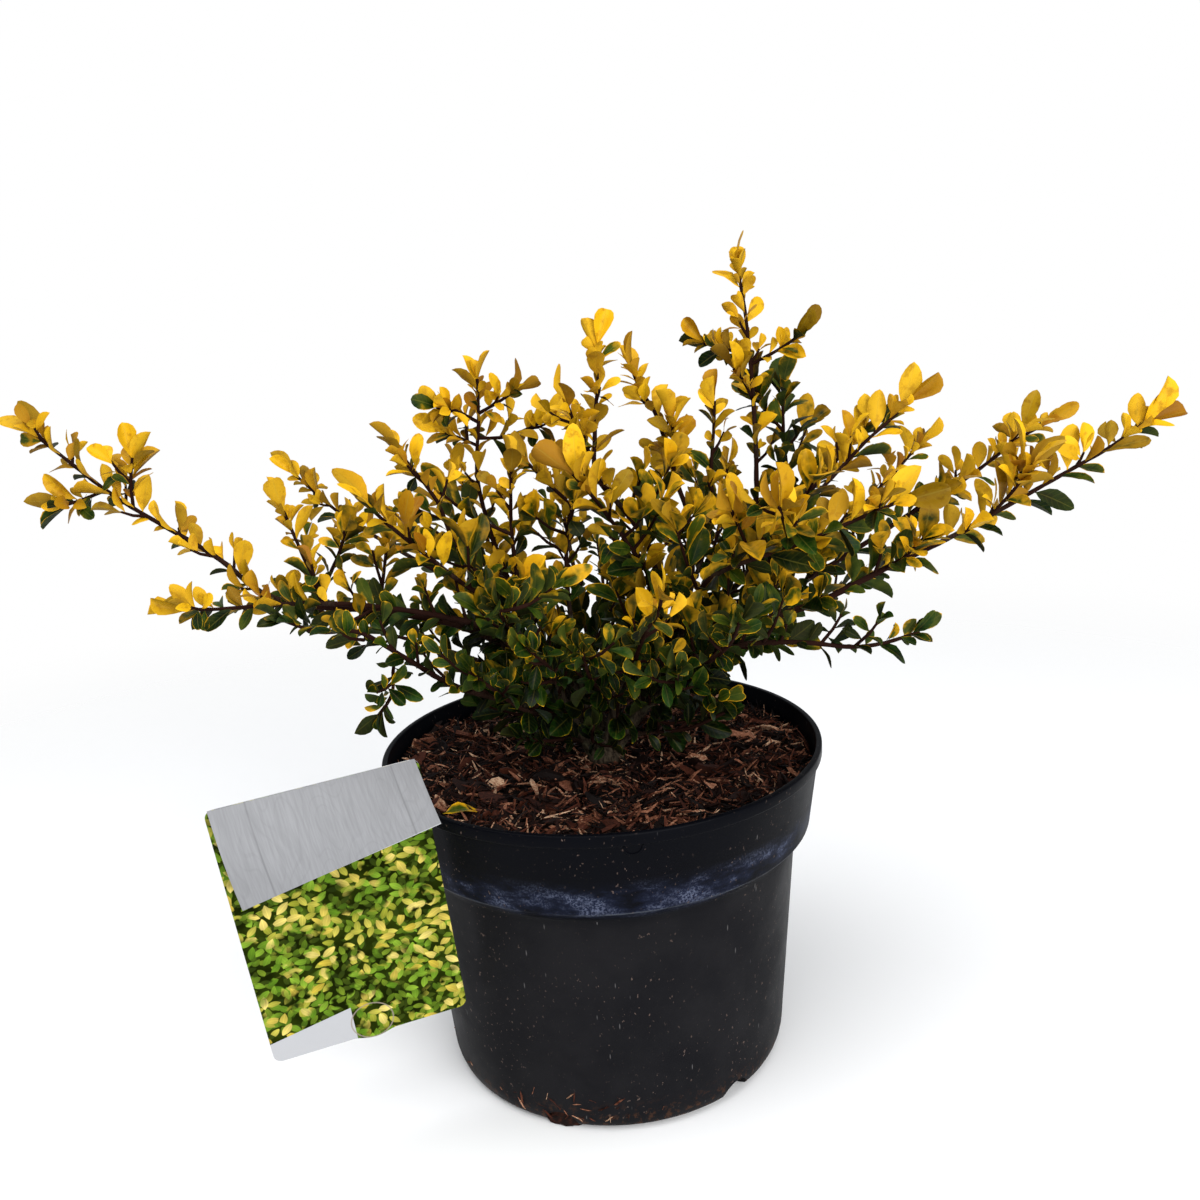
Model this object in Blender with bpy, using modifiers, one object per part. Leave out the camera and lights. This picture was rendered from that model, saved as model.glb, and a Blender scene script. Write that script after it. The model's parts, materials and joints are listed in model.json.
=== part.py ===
"""A golden Japanese holly in its nursery pot: pot, root ball, bark mulch, bare framework, leafy stems and label."""

import math
import random
from collections import namedtuple

import bmesh
import bpy
from mathutils import Euler, Matrix, Vector
from mathutils.bvhtree import BVHTree

MM = 0.001
UP = Vector((0, 0, 1))
GAP = 0.0003  # clearance between pieces that touch
STEM_GAP = 0.0006  # and between the lengths of a bending stem

# Pot: a standard five litre container
RIM_RADIUS = 0.1125
POT_HEIGHT = 0.1672
LIP_HEIGHT = 0.0055
LIP_STANDS_OUT = 0.0012
COLLAR_HEIGHT = 0.042
COLLAR_FOOT_RADIUS = 0.1057
NECK_RADIUS = 0.0982
NECK_BELOW_COLLAR = 0.006
BODY_FOOT_RADIUS = 0.0893
FOOT_ROUNDING = 0.0075
POT_WALL = 0.0016
POT_SIDES = 36
DRAIN_COUNT = 6
DRAIN_FIRST_ANGLE = math.radians(-50)
DRAIN_WIDTH = 0.017
DRAIN_DEPTH = 0.022

# Filling
MULCH_BELOW_RIM = 0.0105
MULCH_THICKNESS = 0.014
MULCH_RELIEF = 0.0018
MULCH_RINGS = 5
STOCK_HOLE_RADIUS = 0.0112
STOCK_HOLE_DEPTH = 0.055
CHIP_COUNT = 16
CHIP_LENGTHS = (0.009, 0.024)

# Label: a folded card that hangs on the rim by its own tongue
LABEL_WIDTH = 0.0915
LABEL_LENGTH = 0.1387
LABEL_THICKNESS = 0.0007
LABEL_CENTRE = Vector((-0.1200, -0.0910, 0.1256))
LABEL_TURN = Euler((math.radians(7.4), math.radians(-5.3), math.radians(15.7)))
LABEL_CORNER = 0.004
# How far the flap's two lower corners lie from its upper ones: across, up, and out towards the viewer
FLAP_LEFT = Vector((0.0079, -0.0227, -0.0370))
FLAP_RIGHT = Vector((0.0016, -0.0421, -0.0083))
TONGUE_WIDTH = 0.010

# Leaves and stems
BLADE_THICKNESS = 0.0007
BLADE_HALVES = (0.5, 0.5, 0.21, 0.21)
BLADE_SHARES = (0.52, 0.52, 1.0, 1.0)
BLADE_FALLS = (0.02, 0.02, 0.15, 0.15)
BLADE_WIDTH_SHARE = 0.54
BLADE_MARGIN = 0.0004
GOLDEN_ANGLE = math.radians(137.5)
LEAF_EVERY = 0.0190
TIP_LEAF_EVERY = 0.0026
TIP_LEAVES = 2
CURVE_STEP = 0.005
STEM_STEP = 0.025
TWIG_STEP = 0.014
NEAREST_TRIES = 200
STEM_TIP_RADIUS = 0.0008
TWIG_RADIUS = 0.0009
LEAF_ROLL = 0.5
UPRIGHT_ROLL = 0.8
SPRAY_FLATNESS = 0.45
TWIG_EVERY = 0.058
TWIG_LENGTHS = (0.022, 0.036)
TURNS_TO_TRY = (0, 40, -40, 80, -80, 125, -125, 170)
STOCK_RADIUS = 0.0105
CROWN_SWELLING = 0.9
FORK_SWELLING = 0.1

COLOURS = {
    "pot": (0.018, 0.019, 0.024, 1),
    "soil": (0.030, 0.018, 0.011, 1),
    "bark": (0.130, 0.045, 0.022, 1),
    "wood": (0.060, 0.040, 0.030, 1),
    "green": (0.045, 0.110, 0.022, 1),
    "gold": (0.720, 0.400, 0.020, 1),
    "card": (0.620, 0.620, 0.660, 1),
}
ROUGHNESS = {"pot": 0.45, "soil": 0.95, "bark": 0.85, "wood": 0.8, "green": 0.4, "gold": 0.45, "card": 0.5}

# Points where branches leave one another, in millimetres from the middle of the pot's foot
CROWN = (0, 0, 150)
LEFT_FORK = (-14, -8, 182)
LEFT_KNEE = (-28, -15, 212)
LOW_LEFT_KNEE = (-38, -28, 228)
UNDER_KNEE = (-26, -24, 191)
MID_LEFT_FORK = (-8, 4, 185)
INNER_LEFT_KNEE = (-28, 10, 219)
FRONT_KNEE = (-22, -30, 205)
CENTRE_FORK = (8, -4, 185)
CENTRE_KNEE = (20, -8, 218)
RIGHT_FORK = (20, 6, 182)
UPPER_RIGHT_KNEE = (51, 20, 239)
LOW_RIGHT_FORK = (18, -9, 180)
RIGHT_KNEE = (36, -15, 202)
FRONT_RIGHT_FORK = (32, -23, 200)
FRONT_RIGHT_KNEE = (45, -40, 220)
SIDE_RIGHT_KNEE = (84, 0, 231)
BACK_RIGHT_FORK = (26, 16, 188)
BACK_RIGHT_KNEE = (48, 26, 208)
TALL_KNEE = (68, 35, 228)
OUTER_RIGHT_KNEE = (52, 38, 206)
BACK_LEFT_FORK = (-14, 14, 182)
BACK_LEFT_KNEE = (-32, 34, 210)
BACK_FORK = (0, 18, 184)

# route: points in millimetres from a fork outwards; bare: millimetres of it that belong to the bare framework;
# gold: the share of the leafy length where the golden leaves begin, None where all its leaves are green;
# leaf: leaf length in millimetres; twigs: side twigs that show singly, as routes; more: side twigs by rule
Limb = namedtuple("Limb", "name route bare thick gold leaf twigs more")

LIMBS = (
    Limb("left_long", (CROWN, LEFT_FORK, LEFT_KNEE, (-62, -30, 240), (-103, -35, 252), (-137, -35, 257),
                       (-157, -30, 264), (-177, -25, 281), (-223, -10, 308), (-252, 0, 330), (-266, 5, 341)),
         88, 1.9, 0.40, 20,
         (((-127, -35, 256), (-123, -28, 269), (-118, -27, 278), (-113, -26, 290)),
          ((-100, -34, 251), (-99, -24, 264), (-95, -23, 283)),
          ((-230, -7, 312), (-241, -8, 309), (-250, -9, 307)),
          ((-216, -12, 304), (-216, -11, 317), (-213, -12, 328))), 0),
    Limb("left_low", (LEFT_KNEE, LOW_LEFT_KNEE, (-48, -42, 241), (-63, -48, 249), (-87, -52, 256),
                      (-114, -54, 261), (-141, -52, 262), (-168, -50, 261), (-187, -48, 261)),
         30, 1.6, 0.55, 19,
         (((-120, -54, 261), (-128, -44, 274), (-134, -36, 286), (-140, -33, 303)),), 0),
    Limb("left_under", (LEFT_FORK, UNDER_KNEE, (-38, -35, 201), (-66, -52, 218), (-87, -64, 238),
                        (-104, -70, 252), (-120, -72, 253), (-136, -72, 260)),
         42, 1.5, None, 17, (((-89, -65, 240), (-91, -66, 231), (-92, -68, 221), (-99, -69, 212)),), 0),
    Limb("left_fork", (LOW_LEFT_KNEE, (-42, -33, 243), (-50, -39, 256), (-59, -45, 265), (-73, -50, 280),
                       (-90, -55, 298), (-95, -58, 306)), 14, 1.3, 0.4, 22, (), 0),
    Limb("left_mid", (LEFT_KNEE, (-38, -20, 235), (-48, -24, 255), (-58, -26, 272), (-64, -25, 281),
                      (-70, -20, 299), (-81, -18, 316), (-87, -18, 325)), 30, 1.2, 0.0, 19, (), 0),
    Limb("centre_left", (CROWN, MID_LEFT_FORK, INNER_LEFT_KNEE, (-44, 15, 256), (-52, 18, 287),
                         (-54, 18, 308), (-51, 18, 333), (-50, 18, 353)),
         82, 1.6, 0.12, 17,
         (((-51, 18, 332), (-62, 12, 339), (-70, 8, 341)),
          ((-51, 18, 336), (-39, 14, 342), (-31, 10, 347)),
          ((-53, 18, 320), (-62, 24, 324), (-71, 28, 327)),
          ((-52, 18, 324), (-41, 22, 323), (-31, 25, 325), (-17, 28, 330))), 0),
    Limb("short_upright", (INNER_LEFT_KNEE, (-35, 2, 245), (-37, -5, 266), (-37, -6, 288), (-35, -6, 312)),
         28, 1.2, 0.0, 18, (), 0),
    Limb("bent", (MID_LEFT_FORK, (-10, 2, 215), (-12, 0, 245), (-11, 0, 273), (-8, 0, 289), (-14, 2, 297),
                  (-22, 5, 305), (-29, 8, 313)), 50, 1.2, 0.2, 18, (), 0),
    Limb("centre", (CROWN, CENTRE_FORK, CENTRE_KNEE, (28, -9, 242), (32, -10, 262), (20, -8, 285), (6, -5, 304),
                    (6, -3, 322), (8, 0, 341), (10, 2, 355), (10, 2, 366)), 104, 1.6, 0.35, 19, (), 1),
    Limb("centre_big", (CENTRE_KNEE, (25, -16, 238), (28, -22, 256), (20, -30, 273), (6, -35, 296), (-5, -38, 311)),
         20, 1.2, 0.2, 23, (), 0),
    Limb("centre_right", (CROWN, RIGHT_FORK, (38, 14, 212), UPPER_RIGHT_KNEE, (52, 22, 275), (47, 24, 293),
                          (43, 25, 311), (37, 26, 331), (30, 27, 343), (27, 28, 352)),
         112, 1.6, 0.45, 20, (((47, 25, 300), (46, 19, 313), (45, 16, 325)),), 0),
    Limb("small_up", (UPPER_RIGHT_KNEE, (59, 25, 256), (65, 30, 275), (65, 30, 299), (67, 30, 319), (68, 30, 334)),
         14, 1.1, 0.0, 18, (), 0),
    Limb("tallest", (CROWN, BACK_RIGHT_FORK, BACK_RIGHT_KNEE, TALL_KNEE, (87, 40, 270), (90, 42, 296),
                     (90, 44, 322), (89, 46, 350), (87, 48, 378), (84, 50, 399)),
         118, 1.7, 0.42, 19,
         (((89, 46, 350), (99, 42, 355), (106, 39, 359), (113, 36, 364)),
          ((89, 46, 354), (82, 50, 357), (74, 53, 359), (66, 56, 362)),
          ((90, 45, 332), (84, 40, 343), (79, 37, 349))), 0),
    Limb("dark_up", (TALL_KNEE, (86, 46, 240), (101, 55, 258), (108, 55, 282), (107, 56, 314), (107, 57, 337)),
         26, 1.3, None, 22, (), 1),
    Limb("right_long", (CROWN, LOW_RIGHT_FORK, RIGHT_KNEE, (51, -20, 218), (80, -25, 232), (109, -30, 242),
                        (142, -30, 257), (170, -30, 269), (203, -28, 285), (230, -25, 298), (246, -24, 306),
                        (264, -22, 317)), 92, 1.9, 0.52, 21, (((204, -28, 285), (202, -32, 295), (201, -34, 303)),), 1),
    Limb("right_upper", (RIGHT_KNEE, (60, -8, 216), SIDE_RIGHT_KNEE, (129, 20, 250), (154, 25, 263), (176, 30, 275),
                         (194, 32, 284), (208, 35, 292), (222, 38, 302), (243, 40, 312)), 66, 1.6, 0.6, 20, (), 1),
    Limb("right_up_a", (SIDE_RIGHT_KNEE, (87, -3, 250), (94, -6, 270), (107, -5, 284), (125, 0, 300),
                        (139, 3, 313), (151, 5, 322), (159, 6, 330)), 18, 1.3, 0.4, 21, (), 0),
    Limb("right_up_b", (TALL_KNEE, (79, 23, 243), (92, 12, 262), (108, 15, 282), (124, 18, 298), (134, 20, 309),
                        (144, 22, 318)), 26, 1.2, 0.2, 19, (), 0),
    Limb("right_front", (RIGHT_KNEE, (40, -22, 221), (46, -32, 242), (55, -42, 259), (71, -50, 268), (95, -55, 276),
                         (117, -58, 285), (137, -60, 293)), 30, 1.4, 0.3, 22,
         (((74, -51, 269), (69, -62, 281), (62, -78, 297)), ((91, -54, 275), (87, -67, 284), (81, -86, 299))), 0),
    Limb("right_low", (LOW_RIGHT_FORK, FRONT_RIGHT_FORK, FRONT_RIGHT_KNEE, (66, -60, 232), (91, -75, 236),
                       (112, -80, 234), (127, -80, 235), (142, -80, 239)), 64, 1.4, None, 17, (), 0),
    Limb("front_right_shoot", (CENTRE_FORK, (14, -26, 205), (18, -56, 226), (22, -86, 247), (27, -110, 263),
                               (28, -119, 271)), 24, 1.3, 0.72, 20, (), 0),
    Limb("front_centre", (CENTRE_FORK, (2, -30, 203), (-3, -60, 221), (-5, -88, 241)), 18, 1.1, None, 19, (), 0),
    Limb("front_right_mid", (FRONT_RIGHT_FORK, (34, -42, 206), (36, -66, 216), (35, -88, 231)), 12, 1.1, None, 19,
         (), 0),
    Limb("front_low_right", (FRONT_RIGHT_KNEE, (51, -64, 226), (58, -88, 241), (60, -108, 256)),
         12, 1.1, None, 19, (), 0),
    Limb("front_left_shoot", (LEFT_FORK, FRONT_KNEE, (-32, -60, 233), (-37, -84, 254), (-38, -99, 266)),
         40, 1.3, None, 20, (((-38, -97, 264), (-27, -97, 266), (-14, -95, 273)),), 0),
    Limb("front_low_left", (UNDER_KNEE, (-36, -50, 204), (-46, -68, 220), (-54, -88, 236)), 12, 1.1, None, 18, (), 0),
    Limb("front_mid", (FRONT_KNEE, (-19, -60, 222), (-23, -84, 238), (-29, -98, 248)), 12, 1.1, None, 18, (), 0),
    Limb("foot_left", (CROWN, (-10, -13, 172), (-27, -34, 181), (-38, -48, 189)), 26, 1.0, None, 15, (), 0),
    Limb("foot_front", (CROWN, (-2, -16, 171), (-4, -40, 182), (-3, -54, 195)), 30, 1.0, None, 15, (), 0),
    Limb("foot_right", (CROWN, (14, -13, 172), (42, -32, 182), (60, -42, 193)), 36, 1.0, None, 15, (), 0),
    Limb("back_left_long", (CROWN, BACK_LEFT_FORK, BACK_LEFT_KNEE, (-66, 62, 234), (-104, 86, 252),
                            (-142, 104, 274), (-172, 116, 300)), 84, 1.7, 0.5, 19, (), 0),
    Limb("back_left_low", (BACK_LEFT_FORK, (-42, 20, 198), (-82, 30, 212), (-122, 38, 224), (-160, 42, 240)),
         34, 1.4, None, 18, (), 0),
    Limb("back_left_up", (BACK_LEFT_KNEE, (-46, 52, 240), (-60, 68, 272), (-72, 78, 302)), 20, 1.2, 0.0, 18, (), 0),
    Limb("back_mid", (CROWN, BACK_FORK, (-4, 44, 214), (-10, 72, 244), (-14, 96, 272), (-16, 112, 298)),
         76, 1.5, 0.45, 18, (), 0),
    Limb("back_mid_right", (BACK_FORK, (16, 46, 210), (28, 78, 238), (38, 106, 264), (46, 124, 292)),
         36, 1.4, 0.4, 18, (), 0),
    Limb("back_mid_low", (BACK_FORK, (4, 52, 198), (6, 90, 212), (6, 124, 226), (4, 152, 243)), 36, 1.3, None, 18,
         (), 0),
    Limb("back_right_up", (BACK_RIGHT_KNEE, (62, 54, 234), (74, 80, 262), (82, 100, 292)), 24, 1.3, 0.0, 18, (), 0),
    Limb("back_right_long", (BACK_RIGHT_FORK, OUTER_RIGHT_KNEE, (90, 64, 224), (130, 88, 244), (168, 106, 268),
                             (198, 118, 294)), 44, 1.6, 0.5, 19, (), 0),
    Limb("back_right_low", (OUTER_RIGHT_KNEE, (88, 42, 212), (126, 48, 222), (160, 52, 236)), 16, 1.3, None, 18,
         (), 0),
)


def clear_scene():
    for item in list(bpy.data.objects):
        bpy.data.objects.remove(item, do_unlink=True)


def new_collection(name):
    made = bpy.data.collections.new(name)
    bpy.context.scene.collection.children.link(made)
    return made


def new_material(name):
    made = bpy.data.materials.new(name)
    made.use_nodes = True
    shader = made.node_tree.nodes["Principled BSDF"]
    shader.inputs["Base Color"].default_value = COLOURS[name]
    shader.inputs["Roughness"].default_value = ROUGHNESS[name]
    shader.inputs["Metallic"].default_value = 0.0
    return made


def object_from_bmesh(name, shape, collection):
    mesh = bpy.data.meshes.new(name)
    shape.to_mesh(mesh)
    shape.free()
    made = bpy.data.objects.new(name, mesh)
    collection.objects.link(made)
    return made


def evaluated_mesh(item):
    """A plain mesh of what the object looks like with its modifiers."""
    bpy.context.view_layer.update()
    graph = bpy.context.evaluated_depsgraph_get()
    return bpy.data.meshes.new_from_object(item.evaluated_get(graph))


def apply_modifiers(item):
    mesh = evaluated_mesh(item)
    item.modifiers.clear()
    item.data = mesh


def give(item, material):
    item.data.materials.clear()
    item.data.materials.append(material)


def turned(name, profile, collection, steps=POT_SIDES):
    """A closed profile of (radius, height) points, turned once round the Z axis."""
    shape = bmesh.new()
    points = [shape.verts.new((radius, 0, height)) for radius, height in profile]
    for first, second in zip(points, points[1:] + points[:1]):
        if first.co.x > 0 or second.co.x > 0:
            shape.edges.new((first, second))
    made = object_from_bmesh(name, shape, collection)
    screw = made.modifiers.new("turn", "SCREW")
    screw.steps = steps
    screw.render_steps = steps
    screw.use_merge_vertices = True
    screw.merge_threshold = 0.00001
    screw.use_smooth_shade = False
    apply_modifiers(made)
    shape = bmesh.new()
    shape.from_mesh(made.data)
    bmesh.ops.recalc_face_normals(shape, faces=shape.faces[:])
    shape.to_mesh(made.data)
    shape.free()
    return made


def boolean(item, operation, others, solver="EXACT"):
    """Joins or cuts an object with every object of a collection, and removes those."""
    change = item.modifiers.new("join", "BOOLEAN")
    change.operation = operation
    change.operand_type = "COLLECTION"
    change.collection = others
    change.solver = solver
    apply_modifiers(item)
    for other in list(others.objects):
        bpy.data.objects.remove(other, do_unlink=True)


def shade_round(item):
    item.data.shade_smooth()
    item.data.set_sharp_from_angle(angle=math.radians(40))


# Pot

COLLAR_FOOT = POT_HEIGHT - COLLAR_HEIGHT
NECK_TOP = COLLAR_FOOT - NECK_BELOW_COLLAR


def body_radius(height):
    """The outside of the tapering body, between its foot and the neck under the collar."""
    share = (height - FOOT_ROUNDING) / (NECK_TOP - FOOT_ROUNDING)
    return BODY_FOOT_RADIUS + (NECK_RADIUS - BODY_FOOT_RADIUS) * share


def collar_radius(height):
    share = (height - COLLAR_FOOT) / COLLAR_HEIGHT
    return COLLAR_FOOT_RADIUS + (RIM_RADIUS - LIP_STANDS_OUT - COLLAR_FOOT_RADIUS) * share


def inner_radius(height):
    """The inside of the pot: in the collar above the step, in the body below it."""
    if height > COLLAR_FOOT:
        return collar_radius(height) - POT_WALL
    return body_radius(height) - POT_WALL


def pot_profile():
    lip_foot = POT_HEIGHT - LIP_HEIGHT
    foot_middle = BODY_FOOT_RADIUS - FOOT_ROUNDING * 0.29
    outside = [
        (collar_radius(POT_HEIGHT) - POT_WALL, POT_HEIGHT),
        (RIM_RADIUS, POT_HEIGHT - 0.0008),
        (RIM_RADIUS, lip_foot),
        (collar_radius(lip_foot), lip_foot - 0.001),
        (COLLAR_FOOT_RADIUS, COLLAR_FOOT + 0.0008),
        (COLLAR_FOOT_RADIUS - 0.0015, COLLAR_FOOT - 0.0006),
        (NECK_RADIUS, NECK_TOP),
        (BODY_FOOT_RADIUS, FOOT_ROUNDING),
        (foot_middle, FOOT_ROUNDING * 0.29),
        (BODY_FOOT_RADIUS - FOOT_ROUNDING, 0),
        (0, 0),
    ]
    inside = [
        (0, POT_WALL),
        (BODY_FOOT_RADIUS - FOOT_ROUNDING, POT_WALL),
        (inner_radius(FOOT_ROUNDING), FOOT_ROUNDING + POT_WALL),
        (inner_radius(NECK_TOP), NECK_TOP + POT_WALL),
        (inner_radius(COLLAR_FOOT + POT_WALL), COLLAR_FOOT + 2 * POT_WALL),
    ]
    return outside + inside


def drain_cutters(collection):
    """Round bars lying outwards across the pot's lower edge."""
    for number in range(DRAIN_COUNT):
        angle = DRAIN_FIRST_ANGLE + number * math.tau / DRAIN_COUNT
        shape = bmesh.new()
        bmesh.ops.create_cone(shape, cap_ends=True, segments=12, radius1=DRAIN_WIDTH / 2, radius2=DRAIN_WIDTH / 2,
                              depth=DRAIN_DEPTH)
        cutter = object_from_bmesh(f"drain_cutter_{number}", shape, collection)
        reach = BODY_FOOT_RADIUS - 0.001
        lie = Matrix.Rotation(angle, 4, "Z") @ Matrix.Translation((reach, 0, 0.0012))
        cutter.data.transform(lie @ Matrix.Rotation(math.pi / 2, 4, "Y"))
        cutter.hide_render = True
        cutter.display_type = "WIRE"


def make_pot(parts, cutters):
    pot = turned("nursery_pot", pot_profile(), parts)
    drain_cutters(cutters)
    boolean(pot, "DIFFERENCE", cutters)
    shade_round(pot)
    return pot


# Filling

MULCH_TOP = POT_HEIGHT - MULCH_BELOW_RIM
MULCH_FOOT = MULCH_TOP - MULCH_THICKNESS


def make_root_ball(parts):
    """Compost that fills the pot to the mulch, with a plain hole for the stock."""
    hole_foot = MULCH_FOOT - STOCK_HOLE_DEPTH
    top = MULCH_FOOT - GAP
    profile = [
        (STOCK_HOLE_RADIUS, top),
        (inner_radius(top) - 2 * GAP, top),
        (inner_radius(COLLAR_FOOT + POT_WALL) - 2 * GAP, COLLAR_FOOT + 3 * POT_WALL),
        (inner_radius(NECK_TOP) - 2 * GAP, NECK_TOP + 2 * POT_WALL),
        (inner_radius(FOOT_ROUNDING + 0.004) - 2 * GAP, FOOT_ROUNDING + 0.004),
        (BODY_FOOT_RADIUS - 2 * FOOT_ROUNDING, POT_WALL + GAP),
        (0, POT_WALL + GAP),
        (0, hole_foot),
        (STOCK_HOLE_RADIUS, hole_foot),
    ]
    return turned("root_ball", profile, parts)


def mulch_relief(x, y):
    """Height of the loose surface above or below its mean."""
    waves = math.sin(x * 190 + 1.3 * math.sin(y * 120)) + math.sin(y * 170 + 1.7 * math.sin(x * 110 + 2))
    return MULCH_RELIEF * 0.5 * waves


def chip(dice, collection, number):
    """One piece of bark, half sunk in the mulch."""
    shape = bmesh.new()
    bmesh.ops.create_cube(shape, size=1)
    length = dice.uniform(*CHIP_LENGTHS)
    bmesh.ops.scale(shape, vec=(length, length * dice.uniform(0.2, 0.4), 0.003), verts=shape.verts)
    for corner in shape.verts:
        corner.co.y *= 1 - 0.5 * dice.random() * (corner.co.x > 0)
    made = object_from_bmesh(f"chip_{number}", shape, collection)
    distance = math.sqrt(dice.uniform(0.12, 0.78)) * (inner_radius(MULCH_TOP) - 0.006)
    angle = dice.uniform(0, math.tau)
    x = distance * math.cos(angle)
    y = distance * math.sin(angle)
    tilt = Euler((dice.uniform(-0.3, 0.3), dice.uniform(-0.25, 0.25), dice.uniform(0, math.tau)))
    place = Matrix.Translation((x, y, MULCH_TOP + mulch_relief(x, y) - 0.0004))
    made.data.transform(place @ tilt.to_matrix().to_4x4())


def make_mulch(parts, repeats, slot):
    """A loose layer of bark with a plain hole for the stock and a slot for the label's tongue."""
    outer = inner_radius(MULCH_FOOT) - 2 * GAP
    rings = [STOCK_HOLE_RADIUS + (outer - STOCK_HOLE_RADIUS) * ring / MULCH_RINGS for ring in range(MULCH_RINGS + 1)]
    profile = [(radius, MULCH_TOP) for radius in rings]
    profile += [(outer, MULCH_FOOT), (STOCK_HOLE_RADIUS, MULCH_FOOT)]
    mulch = turned("bark_mulch", profile, parts)
    for corner in mulch.data.vertices:
        if corner.co.z > MULCH_FOOT + GAP:
            corner.co.z += mulch_relief(corner.co.x, corner.co.y)
    dice = random.Random("mulch")
    for number in range(CHIP_COUNT):
        chip(dice, repeats, number)
    boolean(mulch, "UNION", repeats)
    repeats.objects.link(slot)
    boolean(mulch, "DIFFERENCE", repeats)
    return mulch


# Label

TONGUE_ANGLE = math.radians(-145)
TONGUE_AT_CARD = Vector((0.022, 0, 0.047))
TONGUE_RADIUS_INSIDE = 0.1030
TONGUE_FOOT = MULCH_TOP - 0.009


def label_point(across, out, up):
    """A place given from the middle of the card: across it, out behind it, and up it."""
    return LABEL_CENTRE + LABEL_TURN.to_matrix() @ Vector((across, out, up))


def rim_point(radius, height):
    return Vector((radius * math.cos(TONGUE_ANGLE), radius * math.sin(TONGUE_ANGLE), height))


def sheet(name, rows, thickness, collection):
    """A thin sheet through rows of points, split into triangles alike on both faces."""
    shape = bmesh.new()
    grid = [[shape.verts.new(point) for point in row] for row in rows]
    for upper, lower in zip(grid, grid[1:]):
        for corner in range(len(upper) - 1):
            shape.faces.new((upper[corner], upper[corner + 1], lower[corner]))
            shape.faces.new((upper[corner + 1], lower[corner + 1], lower[corner]))
    shape.normal_update()
    made = object_from_bmesh(name, shape, collection)
    wall = made.modifiers.new("thickness", "SOLIDIFY")
    wall.thickness = thickness
    wall.offset = 0
    apply_modifiers(made)
    return made


def card_outline(name, width, length, corner, collection):
    """A flat card with rounded corners, standing in the XZ plane."""
    shape = bmesh.new()
    bmesh.ops.create_cube(shape, size=1)
    bmesh.ops.scale(shape, vec=(width, LABEL_THICKNESS, length), verts=shape.verts)
    upright = [edge for edge in shape.edges if abs(edge.verts[0].co.y - edge.verts[1].co.y) > LABEL_THICKNESS / 2]
    bmesh.ops.bevel(shape, geom=upright, offset=corner, segments=3, profile=0.5, affect="EDGES")
    return object_from_bmesh(name, shape, collection)


def flap_rows():
    """The front flap: hinged along the card's top edge, and twisted as it springs open."""
    top = LABEL_LENGTH / 2 - LABEL_THICKNESS / 2
    inset = LABEL_WIDTH / 2 - LABEL_CORNER
    rows = []
    for down in (0, 0.25, 0.5, 0.75, 1):
        row = []
        for share in (0, 0.25, 0.5, 0.75, 1):
            hinge = Vector((-inset + 2 * inset * share, 0, top))
            swing = FLAP_LEFT.lerp(FLAP_RIGHT, share)
            bow = Vector((0, -0.004 * math.sin(math.pi * down), 0))
            row.append(label_point(*(hinge + swing * down + bow)))
        rows.append(row)
    return rows


def tongue_rows():
    """The tongue: from the back of the card over the rim and down into the mulch."""
    across_card = LABEL_TURN.to_matrix() @ Vector((1, 0, 0))
    along_rim = Vector((-math.sin(TONGUE_ANGLE), math.cos(TONGUE_ANGLE), 0))
    over = POT_HEIGHT + LABEL_THICKNESS / 2 + 1.4 * GAP
    stations = (
        (label_point(*TONGUE_AT_CARD), 0),
        (label_point(TONGUE_AT_CARD.x, 0.008, TONGUE_AT_CARD.z), 0.2),
        (rim_point(RIM_RADIUS + 0.004, over + 0.0005), 0.9),
        (rim_point(RIM_RADIUS - 0.004, over + 0.0005), 1),
        (rim_point(TONGUE_RADIUS_INSIDE, POT_HEIGHT - 0.004), 1),
        (rim_point(TONGUE_RADIUS_INSIDE, TONGUE_FOOT), 1),
    )
    rows = []
    for middle, share in stations:
        half = across_card.lerp(along_rim, share).normalized() * TONGUE_WIDTH / 2
        rows.append([middle - half, middle + half])
    return rows


def make_label(parts, repeats):
    label = card_outline("plant_label", LABEL_WIDTH, LABEL_LENGTH, LABEL_CORNER, parts)
    label.data.transform(Matrix.Translation(LABEL_CENTRE) @ LABEL_TURN.to_matrix().to_4x4())
    sheet("flap", flap_rows(), LABEL_THICKNESS, repeats)
    sheet("tongue", tongue_rows(), LABEL_THICKNESS, repeats)
    boolean(label, "UNION", repeats)
    return label


def tongue_slot(collection):
    """The cutter for the tongue's slot in the mulch."""
    shape = bmesh.new()
    bmesh.ops.create_cube(shape, size=1)
    bmesh.ops.scale(shape, vec=(LABEL_THICKNESS + 4 * GAP, TONGUE_WIDTH + 4 * GAP, 0.03), verts=shape.verts)
    slot = object_from_bmesh("tongue_slot", shape, collection)
    place = Matrix.Translation(rim_point(TONGUE_RADIUS_INSIDE, TONGUE_FOOT - 2 * GAP + 0.015))
    slot.data.transform(place @ Matrix.Rotation(TONGUE_ANGLE, 4, "Z"))
    slot.hide_render = True
    slot.display_type = "WIRE"
    return slot


# Stems


def curve_point(before, start, end, after, share):
    """A point between start and end on a Catmull-Rom curve."""
    out = (end - before) / 2
    back = (after - start) / 2
    square = share * share
    cube = square * share
    return (start * (2 * cube - 3 * square + 1) + out * (cube - 2 * square + share)
            + end * (3 * square - 2 * cube) + back * (cube - square))


def smooth(route):
    """A close path along the smooth curve through a route's points, which are in millimetres."""
    own = [Vector(point) * MM for point in route]
    ends = [own[0] * 2 - own[1]] + own + [own[-1] * 2 - own[-2]]
    points = [own[0]]
    for before, start, end, after in zip(ends, ends[1:], ends[2:], ends[3:]):
        count = max(1, round((end - start).length / CURVE_STEP))
        points += [curve_point(before, start, end, after, number / count) for number in range(1, count + 1)]
    return Path(points)


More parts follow.
